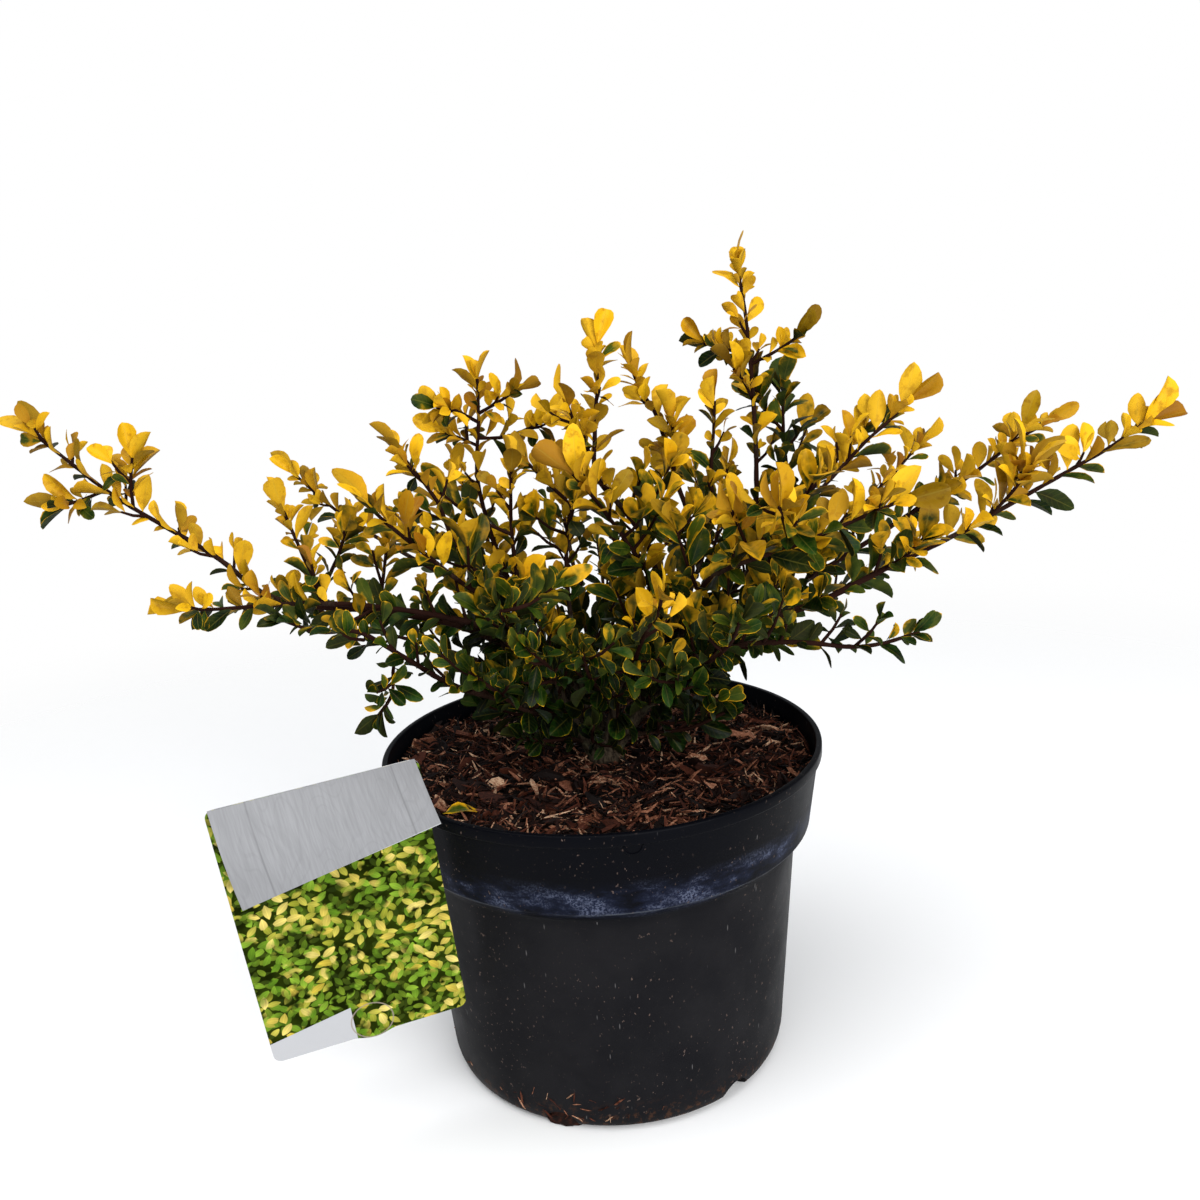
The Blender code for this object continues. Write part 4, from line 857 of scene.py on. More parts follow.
class Growth:
    """The whole plant as lines and leaves: first those of the solids, then the finer rest."""

    def __init__(self, holly):
        self.holly = holly
        self.dice = random.Random("finer leaves")
        self.neighbours = Neighbours()
        self.lines = []
        self.leaves = []
        self.stretches = []
        self.paths = {limb.name: smooth(limb.route) for limb in LIMBS}
        for node in ("nursery_pot", "bark_mulch", "plant_label"):
            self.neighbours.add(node, *mesh_faces(frame["nodes"][node].data))
        self.grow_frame()
        for limb in LIMBS:
            self.grow_stems(limb)
        for limb in LIMBS:
            self.leaf_as_solids(limb)
        self.solid_leaves = len(self.leaves)
        self.leaf_between()
        self.leaf_tips()
        self.grow_spurs()
        self.fill_middle()

    def grow_frame(self):
        foot = MULCH_FOOT - STOCK_HOLE_DEPTH + GAP
        points = [Vector((0, 0, foot)), Vector((0, 0, foot + 0.02)), Vector((0, 0, MULCH_TOP - 0.003)),
                  Vector((0.001, -0.001, MULCH_TOP + 0.008))]
        self.neighbours.add("woody_frame", *tube_faces(points, STOCK_RADIUS, STOCK_RADIUS * 0.92, 2))
        for limb in LIMBS:
            path = self.paths[limb.name]
            bare = limb.bare * MM
            line = path.piece(0, bare, STEM_STEP)
            ends = stem_radius(limb, path, 0), stem_radius(limb, path, bare)
            self.neighbours.add("woody_frame", *tube_faces(line.points, *ends))
            fine = path.piece(0, bare + STEM_GAP, FINE_STEM_STEP)
            steps = len(fine.points) - 1
            radii = [stem_radius(limb, path, bare * number / steps) for number in range(steps + 1)]
            self.lines.append(Line("woody_frame", fine.points, radii, [WOOD_AGE] * (steps + 1)))

    def grow_stems(self, limb):
        path = self.paths[limb.name]
        dice = random.Random(limb.name + " twigs")
        for node, first, last, golden in sections(limb, path):
            line = path.piece(first, last, STEM_STEP)
            ends = stem_radius(limb, path, first), stem_radius(limb, path, last)
            self.neighbours.add(node, *tube_faces(line.points, *ends))
            self.add_line(node, path.piece(first - STEM_GAP, last, FINE_STEM_STEP), *ends, STEM_AGE)
            own = [route for route in limb.twigs if first <= path.nearest(Vector(route[0]) * MM) < last]
            ruled = list(twig_routes(line, dice)) if limb.more else []
            start = (first - limb.bare * MM) / (path.length - limb.bare * MM)
            self.stretches.append(
                Stretch(node, line, LEAF_EVERY * 0.55, last == path.length, golden, [], limb, start))
            for route in own + ruled:
                root = line.at(line.nearest(Vector(route[0]) * MM))[0] / MM
                whole = smooth((tuple(root),) + tuple(route[1:]))
                twig = whole.piece(0, whole.length, TWIG_STEP)
                if route in ruled and not twig_is_clear(self.neighbours, node, twig):
                    continue
                self.neighbours.add(node, *tube_faces(twig.points, TWIG_RADIUS, STEM_TIP_RADIUS))
                fine = whole.piece(0, whole.length, FINE_TWIG_STEP)
                self.add_line(node, fine, TWIG_RADIUS, STEM_TIP_RADIUS, TWIG_AGE)
                self.stretches.append(Stretch(node, twig, LEAF_EVERY * 0.75, True, golden, [], limb, 0.75))

    def add_line(self, node, path, first_radius, last_radius, age):
        steps = len(path.points) - 1
        shares = [number / steps for number in range(steps + 1)]
        radii = [first_radius + (last_radius - first_radius) * share for share in shares]
        self.lines.append(Line(node, path.points, radii, [age * (1 - 0.8 * share) for share in shares]))

    def leaf_as_solids(self, limb):
        dice = random.Random(limb.name + " leaves")
        for stretch in self.stretches:
            if stretch.limb is not limb:
                continue
            for distance, site, share in leaf_sites(stretch.line, stretch.first, dice, stretch.tip):
                length = limb.leaf * MM * share * (1 if stretch.golden else 0.92)
                place = place_leaf(site, length, stretch.node, self.neighbours)
                stretch.sites.append((distance, site[2]))
                if place:
                    self.add_leaf(stretch, place, length, distance)

    def add_leaf(self, stretch, place, length, distance, younger=0.0):
        """Notes a leaf, and how golden it is from where it grows."""
        dice = self.dice
        along = distance / stretch.line.length
        whole = stretch.start + (1 - stretch.start) * along * (0.5 if stretch.golden else 0.9)
        rise = place.col[1].z
        if stretch.golden:
            tone = GOLD_TONE + GOLD_ALONG * whole + GOLD_RISE * rise + dice.gauss(0, GOLD_SPREAD)
            inner = place.translation.z < SHADE_TOP and place.translation.xy.length < SHADE_RADIUS
            shaded = 0.5 if inner else 0.05
            if dice.random() < 0.66 - 0.6 * rise - 0.35 * whole + shaded:
                tone -= dice.uniform(*GOLD_LOSS)
        else:
            top = GREEN_TOP if stretch.limb.gold is None else GREEN_TOP_BELOW_GOLD
            tone = GREEN_TONE + top * whole ** 1.6 + abs(dice.gauss(0, GREEN_SPREAD)) + 0.1 * rise * whole
        tone += younger + 0.5 * (place.translation.z - LEVEL_TONE_HEIGHT)
        # Green leaves near the soil go down towards deep green: painted shade for the low middle of the bush.
        if not stretch.golden:
            tone *= held((place.translation.z - PAINTED_SHADE_FOOT) / PAINTED_SHADE_RISE, 0.1, 1.0)
        bronze = dice.random() ** 3 * (1 if stretch.golden else 0.3)
        length *= 0.9 if stretch.limb.leaf < 21 else 1.0
        width = length * BLADE_WIDTH_SHARE * dice.uniform(*BLADE_WIDTHS)
        self.leaves.append(Leaf(stretch.node, place.translation.copy(), place.to_quaternion(), length, width,
                                dice.randrange(LEAF_SHAPES), held(tone, 0.0, 1.0), bronze))

    def try_leaf(self, stretch, distance, turn, opening, length, younger=0.0):
        point, direction = stretch.line.at(distance)
        site = (point, direction, turn, math.radians(opening), self.dice.uniform(-1, 1))
        place = place_leaf(site, length, stretch.node, self.neighbours, FINE_MARGIN)
        if place:
            self.add_leaf(stretch, place, length, distance, younger)

    def leaf_between(self):
        """Leaves halfway between those of the solids, at the same angles."""
        dice = self.dice
        for stretch in self.stretches:
            places = [(0.0, stretch.sites[0][1] - GOLDEN_ANGLE)] + stretch.sites if stretch.sites else []
            for (before, turn), (after, _) in zip(places, places[1:]):
                if after - before < LEAST_ROOM:
                    continue
                for number in LEAVES_BETWEEN:
                    opening = 58 - 14 * before / stretch.line.length + dice.uniform(-12, 12)
                    length = stretch.limb.leaf * MM * dice.uniform(*BETWEEN_SIZES)
                    place = before + (after - before) * number / (len(LEAVES_BETWEEN) + 1)
                    self.try_leaf(stretch, place, turn + number * BETWEEN_TURN, opening, length)

    def leaf_tips(self):
        """The youngest leaves, which crowd the end of each stem and twig."""
        dice = self.dice
        for stretch in self.stretches:
            if not stretch.tip:
                continue
            turn = dice.uniform(0, math.tau)
            for number in range(TIP_CROWD):
                distance = stretch.line.length - 0.0006 - TIP_CROWD_EVERY * number
                length = stretch.limb.leaf * MM * dice.uniform(*TIP_SIZES)
                self.try_leaf(stretch, distance, turn, 20 + 7 * number + dice.uniform(-6, 6), length, 0.08)
                turn += GOLDEN_ANGLE

    def grow_spurs(self):
        """Short side shoots, each with a small cluster of leaves."""
        dice = self.dice
        for stretch in list(self.stretches):
            line = stretch.line
            distance = dice.uniform(*SPUR_STARTS)
            side = dice.choice((-1, 1))
            while distance < line.length - 0.008:
                point, direction = line.at(distance)
                for _ in range(TWIG_TRIES):
                    out = radial(direction, side * math.radians(dice.uniform(10, 140)))
                    run = (direction * 0.75 + out + UP * 0.3).normalized()
                    length = dice.uniform(*SPUR_LENGTHS) * (1 if stretch.golden else 1.6)
                    end = point + (run + UP * 0.12).normalized() * length
                    spur = Path([point, point + run * length * 0.55, end])
                    if self.spur(stretch, spur, distance, dice.choice(SPUR_LEAVES)):
                        break
                distance += self.holly.spur_spacing * dice.uniform(0.75, 1.3)
                side = -side

    def spur(self, stretch, path, distance, count):
        """Grows one spur, and says whether it had room."""
        if not twig_is_clear(self.neighbours, stretch.node, path):
            return False
        dice = self.dice
        whole = stretch.start + (1 - stretch.start) * distance / stretch.line.length
        own = Stretch(stretch.node, path, 0, True, stretch.golden, [], stretch.limb, whole)
        before = len(self.leaves)
        turn = dice.uniform(0, math.tau)
        for number in range(count):
            along = path.length * (1 - 0.14 * number) - 0.0004
            length = stretch.limb.leaf * MM * dice.uniform(*SPUR_SIZES)
            self.try_leaf(own, along, turn, 22 + 15 * number + dice.uniform(-8, 8), length, 0.03)
            turn += GOLDEN_ANGLE
        if len(self.leaves) == before:
            return False
        self.add_line(stretch.node, path, STEM_TIP_RADIUS, FINE_TIP_RADIUS, SPUR_AGE)
        return True

    def fill_middle(self):
        """Leafy side twigs on the inner wood and the feet of the leafy stems, which the solids leave bare."""
        dice = self.dice
        for limb in LIMBS:
            path = self.paths[limb.name]
            distance = dice.uniform(*INNER_STARTS)
            side = dice.choice((-1, 1))
            while distance < path.length * INNER_SHARE:
                point, direction = path.at(distance)
                bare = distance < limb.bare * MM
                distance += self.holly.inner_spacing * dice.uniform(0.7, 1.3) * (1.4 if bare else 1)
                side = -side
                outside = point.z > INNER_TOP or point.xy.length > INNER_RADIUS
                if point.z < INNER_FOOT or outside or dice.random() > self.holly.inner_fill:
                    continue
                for _ in range(TWIG_TRIES):
                    out = radial(direction, side * math.radians(dice.uniform(15, 165)))
                    away = Vector((point.x, point.y, 0)).normalized() if point.xy.length > 0.004 else out
                    run = (direction * 0.45 + out + away * 0.4 + UP * dice.uniform(-0.1, 0.4)).normalized()
                    length = dice.uniform(*INNER_LENGTHS)
                    bend = (run + UP * 0.3).normalized()
                    middle = point + run * length * 0.5
                    twig = Path([point, middle, middle + bend * length * 0.5])
                    if self.inner_twig(limb, twig):
                        break

    def inner_twig(self, limb, path):
        """Grows one such twig, and says whether it had room."""
        if not twig_is_clear(self.neighbours, "woody_frame", path):
            return False
        dice = self.dice
        height = held((path.points[-1].z - 0.22) / 0.12, 0.02, 0.7)
        own = Stretch("inner_leaves", path, 0, True, False, [], limb._replace(gold=0.5), height)
        before = len(self.leaves)
        turn = dice.uniform(0, math.tau)
        distance = 0.006
        while distance < path.length:
            opening = 62 - 34 * distance / path.length + dice.uniform(-8, 8)
            self.try_leaf(own, distance, turn, opening, dice.uniform(*INNER_LEAF_LENGTHS))
            distance += dice.uniform(*INNER_LEAF_EVERY)
            turn += GOLDEN_ANGLE
        for number in range(3):
            length = dice.uniform(*INNER_TIP_LENGTHS)
            self.try_leaf(own, path.length - 0.0005, turn, 18 + 12 * number, length, 0.04)
            turn += GOLDEN_ANGLE
        if len(self.leaves) == before:
            return False
        self.neighbours.add("inner_leaves", *tube_faces(path.points, TWIG_RADIUS, STEM_TIP_RADIUS))
        self.add_line("inner_leaves", path, TWIG_RADIUS, FINE_TIP_RADIUS, INNER_AGE)
        return True


# Leaf, bark and stem shapes that are repeated

LEAF_SHAPES = 6
LEAF_FOLDS = (0.12, 0.85, 0.42, 1.10, 0.24, 0.62)
LEAF_DROOPS = (0.18, 0.10, 0.22, 0.06, 0.26, 0.14)
LEAF_OVALS = (0.3, 0.0, 0.6, 0.1, 1.0, 0.8)
LEAF_SWELL = 0.011
LEAF_ROWS = (0, 0.09, 0.19, 0.36, 0.55, 0.73, 0.88, 0.96)
SPOON_OUTLINE = (0.06, 0.08, 0.24, 0.55, 0.86, 1.0, 0.82, 0.5)
OVAL_OUTLINE = (0.06, 0.08, 0.40, 0.80, 1.0, 0.92, 0.64, 0.36)
ACROSS = (-1, -0.5, 0, 0.5, 1)


def leaf_shape(number):
    """A leaf of unit length and width along +Y: upper face, paler lower face, and a short stalk."""
    dice = random.Random(f"leaf shape {number}")
    fold = LEAF_FOLDS[number]
    droop = LEAF_DROOPS[number]
    outline = [(along, spoon + (egg - spoon) * LEAF_OVALS[number])
               for along, spoon, egg in zip(LEAF_ROWS, SPOON_OUTLINE, OVAL_OUTLINE)]
    twist = dice.uniform(-0.4, 0.4)
    bend = dice.uniform(-0.07, 0.07)
    wave = dice.uniform(-0.03, 0.03)
    shape = bmesh.new()
    place_of = shape.loops.layers.uv.new("leaf_uv")
    under = shape.faces.layers.float.new("under")
    marks = {}

    def corner(along, half, across, side):
        x = across * half * 0.5
        z = side * LEAF_SWELL * (1 - across * across) - droop * along ** 2.4
        z += fold * abs(x) * BLADE_WIDTH_SHARE
        z += wave * math.sin(9 * along) * abs(across)
        turn = twist * (along - 0.3)
        spot = Vector((x * math.cos(turn) - z * math.sin(turn) * 1.6 + bend * along * along, along,
                       z + x * math.sin(turn) * 0.5))
        made = shape.verts.new(spot)
        marks[made] = (0.5 + across / 2, along)
        return made

    rows = [[corner(along, half, across, 1) for across in ACROSS] for along, half in outline]
    ribs = [corner(along, half, 0, -1) for along, half in outline]
    tip = corner(1.0, 0, 0, 0)
    faces = []
    for row, after, rib, rib_after in zip(rows, rows[1:], ribs, ribs[1:]):
        for left in range(4):
            faces.append(((row[left], row[left + 1], after[left + 1], after[left]), 0.0))
        faces.append(((row[0], after[0], rib_after, rib), 1.0))
        faces.append(((rib, rib_after, after[4], row[4]), 1.0))
    last = rows[-1]
    for left in range(4):
        faces.append(((last[left], last[left + 1], tip), 0.0))
    faces.append(((last[0], tip, ribs[-1]), 1.0))
    faces.append(((ribs[-1], tip, last[4]), 1.0))
    faces.append((tuple(reversed(rows[0])) + (ribs[0],), 0.0))
    for corners, lower in faces:
        face = shape.faces.new(corners)
        face.smooth = True
        face[under] = lower
        for loop in face.loops:
            loop[place_of].uv = marks[loop.vert]
    margins = {row[0] for row in rows} | {row[4] for row in rows} | {tip}
    for edge in shape.edges:
        if edge.verts[0] in margins and edge.verts[1] in margins:
            edge.smooth = False
    return object_of(f"leaf_shape_{number}", shape)


def sliver_shape(number, flat):
    """A torn fibre of bark along X, one unit long, or a flatter chip."""
    dice = random.Random(f"sliver {number} {flat}")
    shape = bmesh.new()
    rows = []
    sides, crook, deep = (4, 1, 0.3) if flat else (3, 1.6, 0.8)
    for along, size in ((-0.5, 0.3), (-0.22, 0.9), (0.2, 1.0), (0.5, 0.25)):
        middle = Vector((along + dice.uniform(-0.05, 0.05), dice.uniform(-0.5, 0.5) * crook, 0))
        row = []
        for turn in range(sides):
            angle = math.tau * (turn + 0.5) / sides + dice.uniform(-0.3, 0.3)
            reach = size * dice.uniform(0.75, 1.2)
            spot = Vector((0, math.cos(angle) * reach, math.sin(angle) * reach * deep))
            row.append(shape.verts.new(middle + spot))
        rows.append(row)
    for row, after in zip(rows, rows[1:]):
        for turn in range(sides):
            shape.faces.new((row[turn], row[turn - 1], after[turn - 1], after[turn]))
    shape.faces.new(rows[0])
    shape.faces.new(rows[-1])
    bmesh.ops.recalc_face_normals(shape, faces=shape.faces[:])
    return object_of(f"sliver_shape_{number}", shape)


def shape_collection(name, items):
    """Keeps the shapes that are repeated out of the scene's own collection."""
    made = bpy.data.collections.new(name)
    for item in items:
        made.objects.link(item)
        bpy.context.scene.collection.objects.unlink(item)
    return made


def shoot_tree():
    """Stems along their lines, and a leaf at each loose point."""
    graph, given = new_tree("Leafy shoot", "GeometryNodeTree", (
        ("Geometry", "Geometry", None), ("Leaf shapes", "Collection", None), ("Leaf size", "Float", 1.0),
        ("Stem sides", "Int", 8), ("Stem thickness", "Float", 1.0), ("Leaf finish", "Material", None),
        ("Stem finish", "Material", None)), (("Geometry", "Geometry"),))
    split = graph.node("GeometryNodeSeparateGeometry", {
        "Geometry": given["Geometry"], "Selection": graph.named("leaf", "BOOLEAN")}, domain="POINT")
    leaves = graph.picked(
        split["Selection"], given["Leaf shapes"], Instance_Index=graph.named("shape", "INT"),
        Rotation=graph.named("facing", "QUATERNION"),
        Scale=graph.scaled(graph.named("size", "FLOAT_VECTOR"), given["Leaf size"]))
    real = graph.node("GeometryNodeRealizeInstances", {"Geometry": leaves})
    line = graph.node("GeometryNodeMeshToCurve", {"Mesh": split["Inverted"]})
    ring = graph.node("GeometryNodeCurvePrimitiveCircle", {"Resolution": given["Stem sides"], "Radius": 1.0})
    thick = graph.named("thick", "FLOAT") * given["Stem thickness"]
    stem = graph.node("GeometryNodeCurveToMesh", {
        "Curve": line, "Profile Curve": ring, "Scale": thick, "Fill Caps": True})
    both = graph.node("GeometryNodeJoinGeometry")
    for part in (graph.finished(real, given["Leaf finish"]), graph.finished(stem, given["Stem finish"])):
        graph.feed(both.node, {0: part})
    return graph.close({"Geometry": both})


def litter_tree():
    """Bark fibres strewn over a surface, none of them through the pot's wall."""
    graph, given = new_tree("Bark litter", "GeometryNodeTree", (
        ("Geometry", "Geometry", None), ("Shapes", "Collection", None),
        ("Pieces per square metre", "Float", 90000.0), ("Shortest", "Float", 0.005),
        ("Longest", "Float", 0.02), ("Thickness share", "Float", 0.07), ("Pile height", "Float", 0.003),
        ("Steepest", "Float", 0.4), ("Wall radius", "Float", 0.1), ("Seed", "Int", 1),
        ("Finish", "Material", None)),
        (("Geometry", "Geometry"),))

    def chance(number, low, high):
        inputs = {2: low, 3: high, "Seed": given["Seed"] + number}
        return graph.node("FunctionNodeRandomValue", inputs, data_type="FLOAT")[1]

    def joined_parts(**values):
        return graph.node("ShaderNodeCombineXYZ", values)

    points = graph.node("GeometryNodeDistributePointsOnFaces", {
        "Mesh": given["Geometry"], "Selection": graph.parts(graph.node("GeometryNodeInputNormal"))["Z"] > 0.5,
        "Density": given["Pieces per square metre"], "Seed": given["Seed"]})
    heading = chance(11, 0.0, math.tau)
    reach = chance(12, given["Shortest"], given["Longest"])
    lie = joined_parts(X=graph.math("COSINE", heading), Y=graph.math("SINE", heading))
    half = graph.scaled(lie, reach * 0.5)
    spot = graph.vector("MULTIPLY", graph.node("GeometryNodeInputPosition"), (1, 1, 0))
    ends = [graph.vector("LENGTH", graph.vector(way, spot, half)) for way in ("ADD", "SUBTRACT")]
    marked = graph.node("GeometryNodeStoreNamedAttribute", {
        "Geometry": points, "Name": "tone", "Value": graph.math("POWER", chance(13, 0.0, 1.0), 1.25)},
        data_type="FLOAT", domain="POINT")
    lifted = graph.node("GeometryNodeSetPosition", {
        "Geometry": marked, "Offset": joined_parts(Z=chance(14, 0.0, given["Pile height"]))})
    turn = graph.node("FunctionNodeEulerToRotation", {"Euler": joined_parts(
        X=chance(16, -3.0, 3.0), Y=given["Steepest"] * chance(15, -1.0, 1.0), Z=heading)})
    thick = reach * given["Thickness share"] * chance(17, 0.5, 1.5)
    pieces = graph.picked(
        lifted, given["Shapes"], Selection=graph.math("MAXIMUM", *ends) < given["Wall radius"], Rotation=turn,
        Scale=joined_parts(X=reach, Y=thick, Z=thick))
    real = graph.node("GeometryNodeRealizeInstances", {"Geometry": pieces})
    return graph.close({"Geometry": graph.finished(real, given["Finish"])})


# Finishes


def leaf_colour_group(holly):
    """Colour, height and roughness of a leaf from its tone: deep green, olive, ochre, gold."""
    graph, given = new_tree("Leaf colour", "ShaderNodeTree", (
        ("Tone", "Float", 0.5), ("Bronze", "Float", 0.0), ("Underside", "Float", 0.0),
        ("Leaf place", "Vector", None), ("Position", "Vector", None), ("Margin", "Float", 0.3),
        ("Vein strength", "Float", 0.4)),
        (("Color", "Color"), ("Height", "Float"), ("Roughness", "Float")))
    tone = given["Tone"]
    place = given["Position"]
    along = graph.parts(given["Leaf place"])["Y"]
    across = abs(along["X"] * 2.0 - 1.0)
    rim = graph.math("MAXIMUM", graph.ramp(across, 0.80, 0.99), graph.ramp(along, 0.94, 0.99))
    rim = rim * graph.ramp(graph.noise(place, 48.0, 1.0), 0.42, 0.58, 1.0, 0.15)
    midrib = 1.0 - graph.ramp(across, 0.015, 0.10)
    wave = graph.math("SINE", (along * 7.0 - across * 1.5) * math.tau)
    veins = graph.ramp(wave, 0.7, 1.0) * 0.25
    ribs = graph.math("MAXIMUM", midrib, veins) * given["Vein strength"]
    blotch = graph.noise(place, 150.0, 3.0) - 0.5
    middle = (1.0 - graph.ramp(across, 0.1, 0.7)) * (1.0 - graph.ramp(along, 0.3, 0.95))
    local = tone + rim * given["Margin"] * (1.0 - tone) - middle * 0.16
    local = graph.math("ADD", local, blotch * 0.75, clamp=True)
    flush = graph.ramp(graph.noise(place, 210.0, 4.0, 0.6), 0.50, 0.68) * 0.55 * graph.ramp(local, 0.45, 0.75)
    colour = graph.colours(local, (
        (0.0, holly.deep_green), (0.22, holly.mid_green), (0.42, holly.olive), (0.60, holly.ochre),
        (0.88, holly.gold)))
    colour = graph.layered(colour, (given["Bronze"] * graph.ramp(local, 0.4, 0.7), holly.bronze),
                           (flush, toned(holly.bronze, 1.1)))
    own = graph.math("FRACT", tone * 61.7)
    fresh = graph.ramp(own, 0.72, 0.95) * (1.0 - graph.ramp(local, 0.2, 0.5))
    value = graph.ramp(own, 0.0, 0.60, 1.0, 0.32) + fresh * 0.6
    colour = graph.mix(1.0, colour, value, blend="MULTIPLY")
    colour = graph.mix(ribs, colour, graph.mix(0.4, colour, (0.30, 0.26, 0.04)))
    paler = graph.mix(graph.ramp(local, 0.45, 0.7), (0.060, 0.062, 0.016), (0.560, 0.330, 0.030))
    colour = graph.mix(given["Underside"] * 0.5, colour, graph.mix(0.4, colour, paler))
    rough = given["Underside"] * 0.2 + graph.ramp(graph.noise(place, 420.0), 0.3, 0.7, 0.5, 0.36)
    return graph.close({
        "Color": colour, "Height": graph.noise(place, 1200.0, 1.0) * 0.25 - ribs * 1.2, "Roughness": rough})


def leaf_finish(name, tree, colour, margin, veins):
    graph = new_material(name, colour, 0.42, 0.07)
    leaf = graph.group(tree, {
        "Tone": graph.attribute("tone"), "Bronze": graph.attribute("bronze"),
        "Underside": graph.attribute("under"), "Leaf place": graph.node("ShaderNodeUVMap", uv_map="leaf_uv"),
        "Position": graph.object_place(), "Margin": margin, "Vein strength": veins})
    return graph.close({"Base Color": leaf["Color"], "Roughness": leaf["Roughness"],
                        "Normal": graph.bump(leaf["Height"], 0.35, 0.0003)})


def wood_group():
    """Bark of stems: purple-brown and smooth when young, grey-brown and cracked when old, with the old bark
    darkened further as painted shade.
    """
    graph, given = new_tree("Stem bark", "ShaderNodeTree", (
        ("Age", "Float", 0.5), ("Position", "Vector", None), ("Grain", "Float", 900.0)),
        (("Color", "Color"), ("Height", "Float")))
    age = given["Age"]
    streaks = graph.noise(graph.stretched(given["Position"], (1, 1, 0.22)), given["Grain"], 4.0, 0.6)
    patches = graph.noise(given["Position"], 130.0, 3.0)
    young = graph.mix(patches, (0.0070, 0.0022, 0.0018), (0.0220, 0.0075, 0.0045))
    # Old bark and its lichen are darker than their own grey-brown: painted shade for the wood deep in the
    # bush.
    old = graph.mix(graph.ramp(streaks, 0.3, 0.7), (0.008, 0.0055, 0.004), (0.062, 0.046, 0.030))
    lichen = graph.ramp(patches, 0.56, 0.66) * graph.ramp(age, 0.7, 1.0)
    old = graph.mix(lichen * 0.5, old, (0.062, 0.064, 0.034))
    colour = graph.mix(graph.ramp(age, 0.35, 0.95), young, old)
    return graph.close({"Color": colour, "Height": streaks * (age + 0.2)})


def stem_finish(name, tree, grain, bump):
    graph = new_material(name, (0.02, 0.01, 0.008), 0.8, 0.04)
    bark = graph.group(tree, {
        "Age": graph.attribute("age"), "Position": graph.object_place(), "Grain": grain})
    return graph.close({"Base Color": bark["Color"], "Normal": graph.bump(bark["Height"], bump, 0.0006)})


def dust_group():
    """Masks on moulded plastic: pale dust tinted with a painted bluish sheen, and a painted bluish sheen,
    both in a band; fine specks and short scuffs.
    """
    graph, given = new_tree("Dust and scuffs", "ShaderNodeTree", (
        ("Position", "Vector", None), ("Band height", "Float", 0.13), ("Band width", "Float", 0.006)),
        [(name, "Float") for name in ("Haze", "Film", "Specks", "Scuffs", "Height")])
    place = given["Position"]
    away = abs(graph.parts(place)["Z"] - given["Band height"])
    band = 1.0 - graph.ramp(away / given["Band width"], 0.1, 1.0)
    cloud = graph.noise(graph.stretched(place, (1, 1, 2.4)), 38.0, 5.0, 0.65)
    grit = graph.noise(place, 950.0, 3.0, 0.7)
    # Pale mottled dust in the band, which pot_finish tints with a painted bluish sheen.
    dust_and_sheen_mask = band * (graph.ramp(cloud, 0.44, 0.64) * graph.ramp(grit, 0.42, 0.62))
    grains = graph.noise(graph.stretched(place, (1, 1, 0.7), (0.6, 0.4, 0)), 640.0, 3.0, 0.55)
    specks = graph.ramp(grains, 0.66, 0.70) * graph.ramp(graph.noise(place, 21.0, 3.0), 0.42, 0.62, 1.0, 0.12)
    marks = []
    for turn in ((0.5, 0.2, 0.3), (-0.9, 0.6, 1.4), (0.3, -1.1, 2.2)):
        leaning = graph.stretched(place, (1, 1, 0.16), turn)
        cells = graph.node("ShaderNodeTexVoronoi", {"Vector": leaning, "Scale": 330.0})
        chosen = graph.node("ShaderNodeSeparateColor", {0: cells["Color"]})[1] > 0.92
        marks.append((1.0 - graph.ramp(cells["Distance"], 0.05, 0.12)) * chosen)
    scuffs = graph.math("MAXIMUM", graph.math("MAXIMUM", *marks[:2]), marks[2])
    # The second mask is a painted bluish sheen along the band.
    return graph.close({"Haze": dust_and_sheen_mask, "Film": band * graph.ramp(cloud, 0.30, 0.60), "Specks": specks,
                        "Scuffs": scuffs, "Height": grit * 0.5 + cloud})


def pot_finish(settings):
    """Matt black plastic: pale dust tinted with a painted bluish sheen, and a painted bluish sheen, along the
    collar's foot; a thin lighter line along the collar's foot edge; specks, scuffs, and soil at the pot's
    foot.
    """
    graph = new_material("black_pot_plastic", settings.plastic, 0.45, 0.03)
    place = graph.object_place()
    dust = graph.group(dust_group(), {
        "Position": place, "Band height": COLLAR_FOOT + 0.006, "Band width": 0.013})
    height = graph.parts(place)["Z"]
    cloud = graph.noise(place, 24.0, 4.0, 0.6)
    below = 1.0 - graph.ramp(height, COLLAR_FOOT - 0.012, COLLAR_FOOT - 0.001)
    # A thin lighter line along the collar's foot edge.
    edge = abs(height - (COLLAR_FOOT + 0.0003))
    edge_line = (1.0 - graph.ramp(edge, 0.0002, 0.0010)) * graph.ramp(cloud, 0.35, 0.6)
    low = 1.0 - graph.ramp(height, 0.0, 0.020)
    crumbs = graph.ramp(graph.noise(place, 260.0, 5.0, 0.75), 0.52, 0.60) * low
    colour = graph.layered(
        graph.mix(cloud, toned(settings.plastic, 0.6), toned(settings.plastic, 1.6)),
        (below * graph.ramp(cloud, 0.3, 0.7, 0.5, 1.0), (0.0086, 0.0084, 0.0096)),
        # Painted bluish sheen along the collar's foot, then pale dust tinted with the same painted sheen.
        (dust["Film"] * 0.7, (0.009, 0.013, 0.032)),
        (dust["Haze"] * 0.6, settings.dust),
        # The thin lighter line along the collar's foot edge.
        (edge_line * 0.45, (0.085, 0.095, 0.110)),
        (dust["Specks"] * 0.75, (0.110, 0.078, 0.064)),
        (dust["Scuffs"] * 0.5, (0.130, 0.125, 0.125)),
        (crumbs * 0.8, (0.060, 0.026, 0.013)))
    rough = graph.ramp(cloud, 0.3, 0.7, 0.52, 0.38) + dust["Haze"] * 0.3
    rough = rough - graph.ramp(height, LIP_FOOT, LIP_FOOT + MM, 0.1)
    return graph.close({"Base Color": colour, "Roughness": rough,
                        "Normal": graph.bump(dust["Height"], 0.10, 0.0008)})


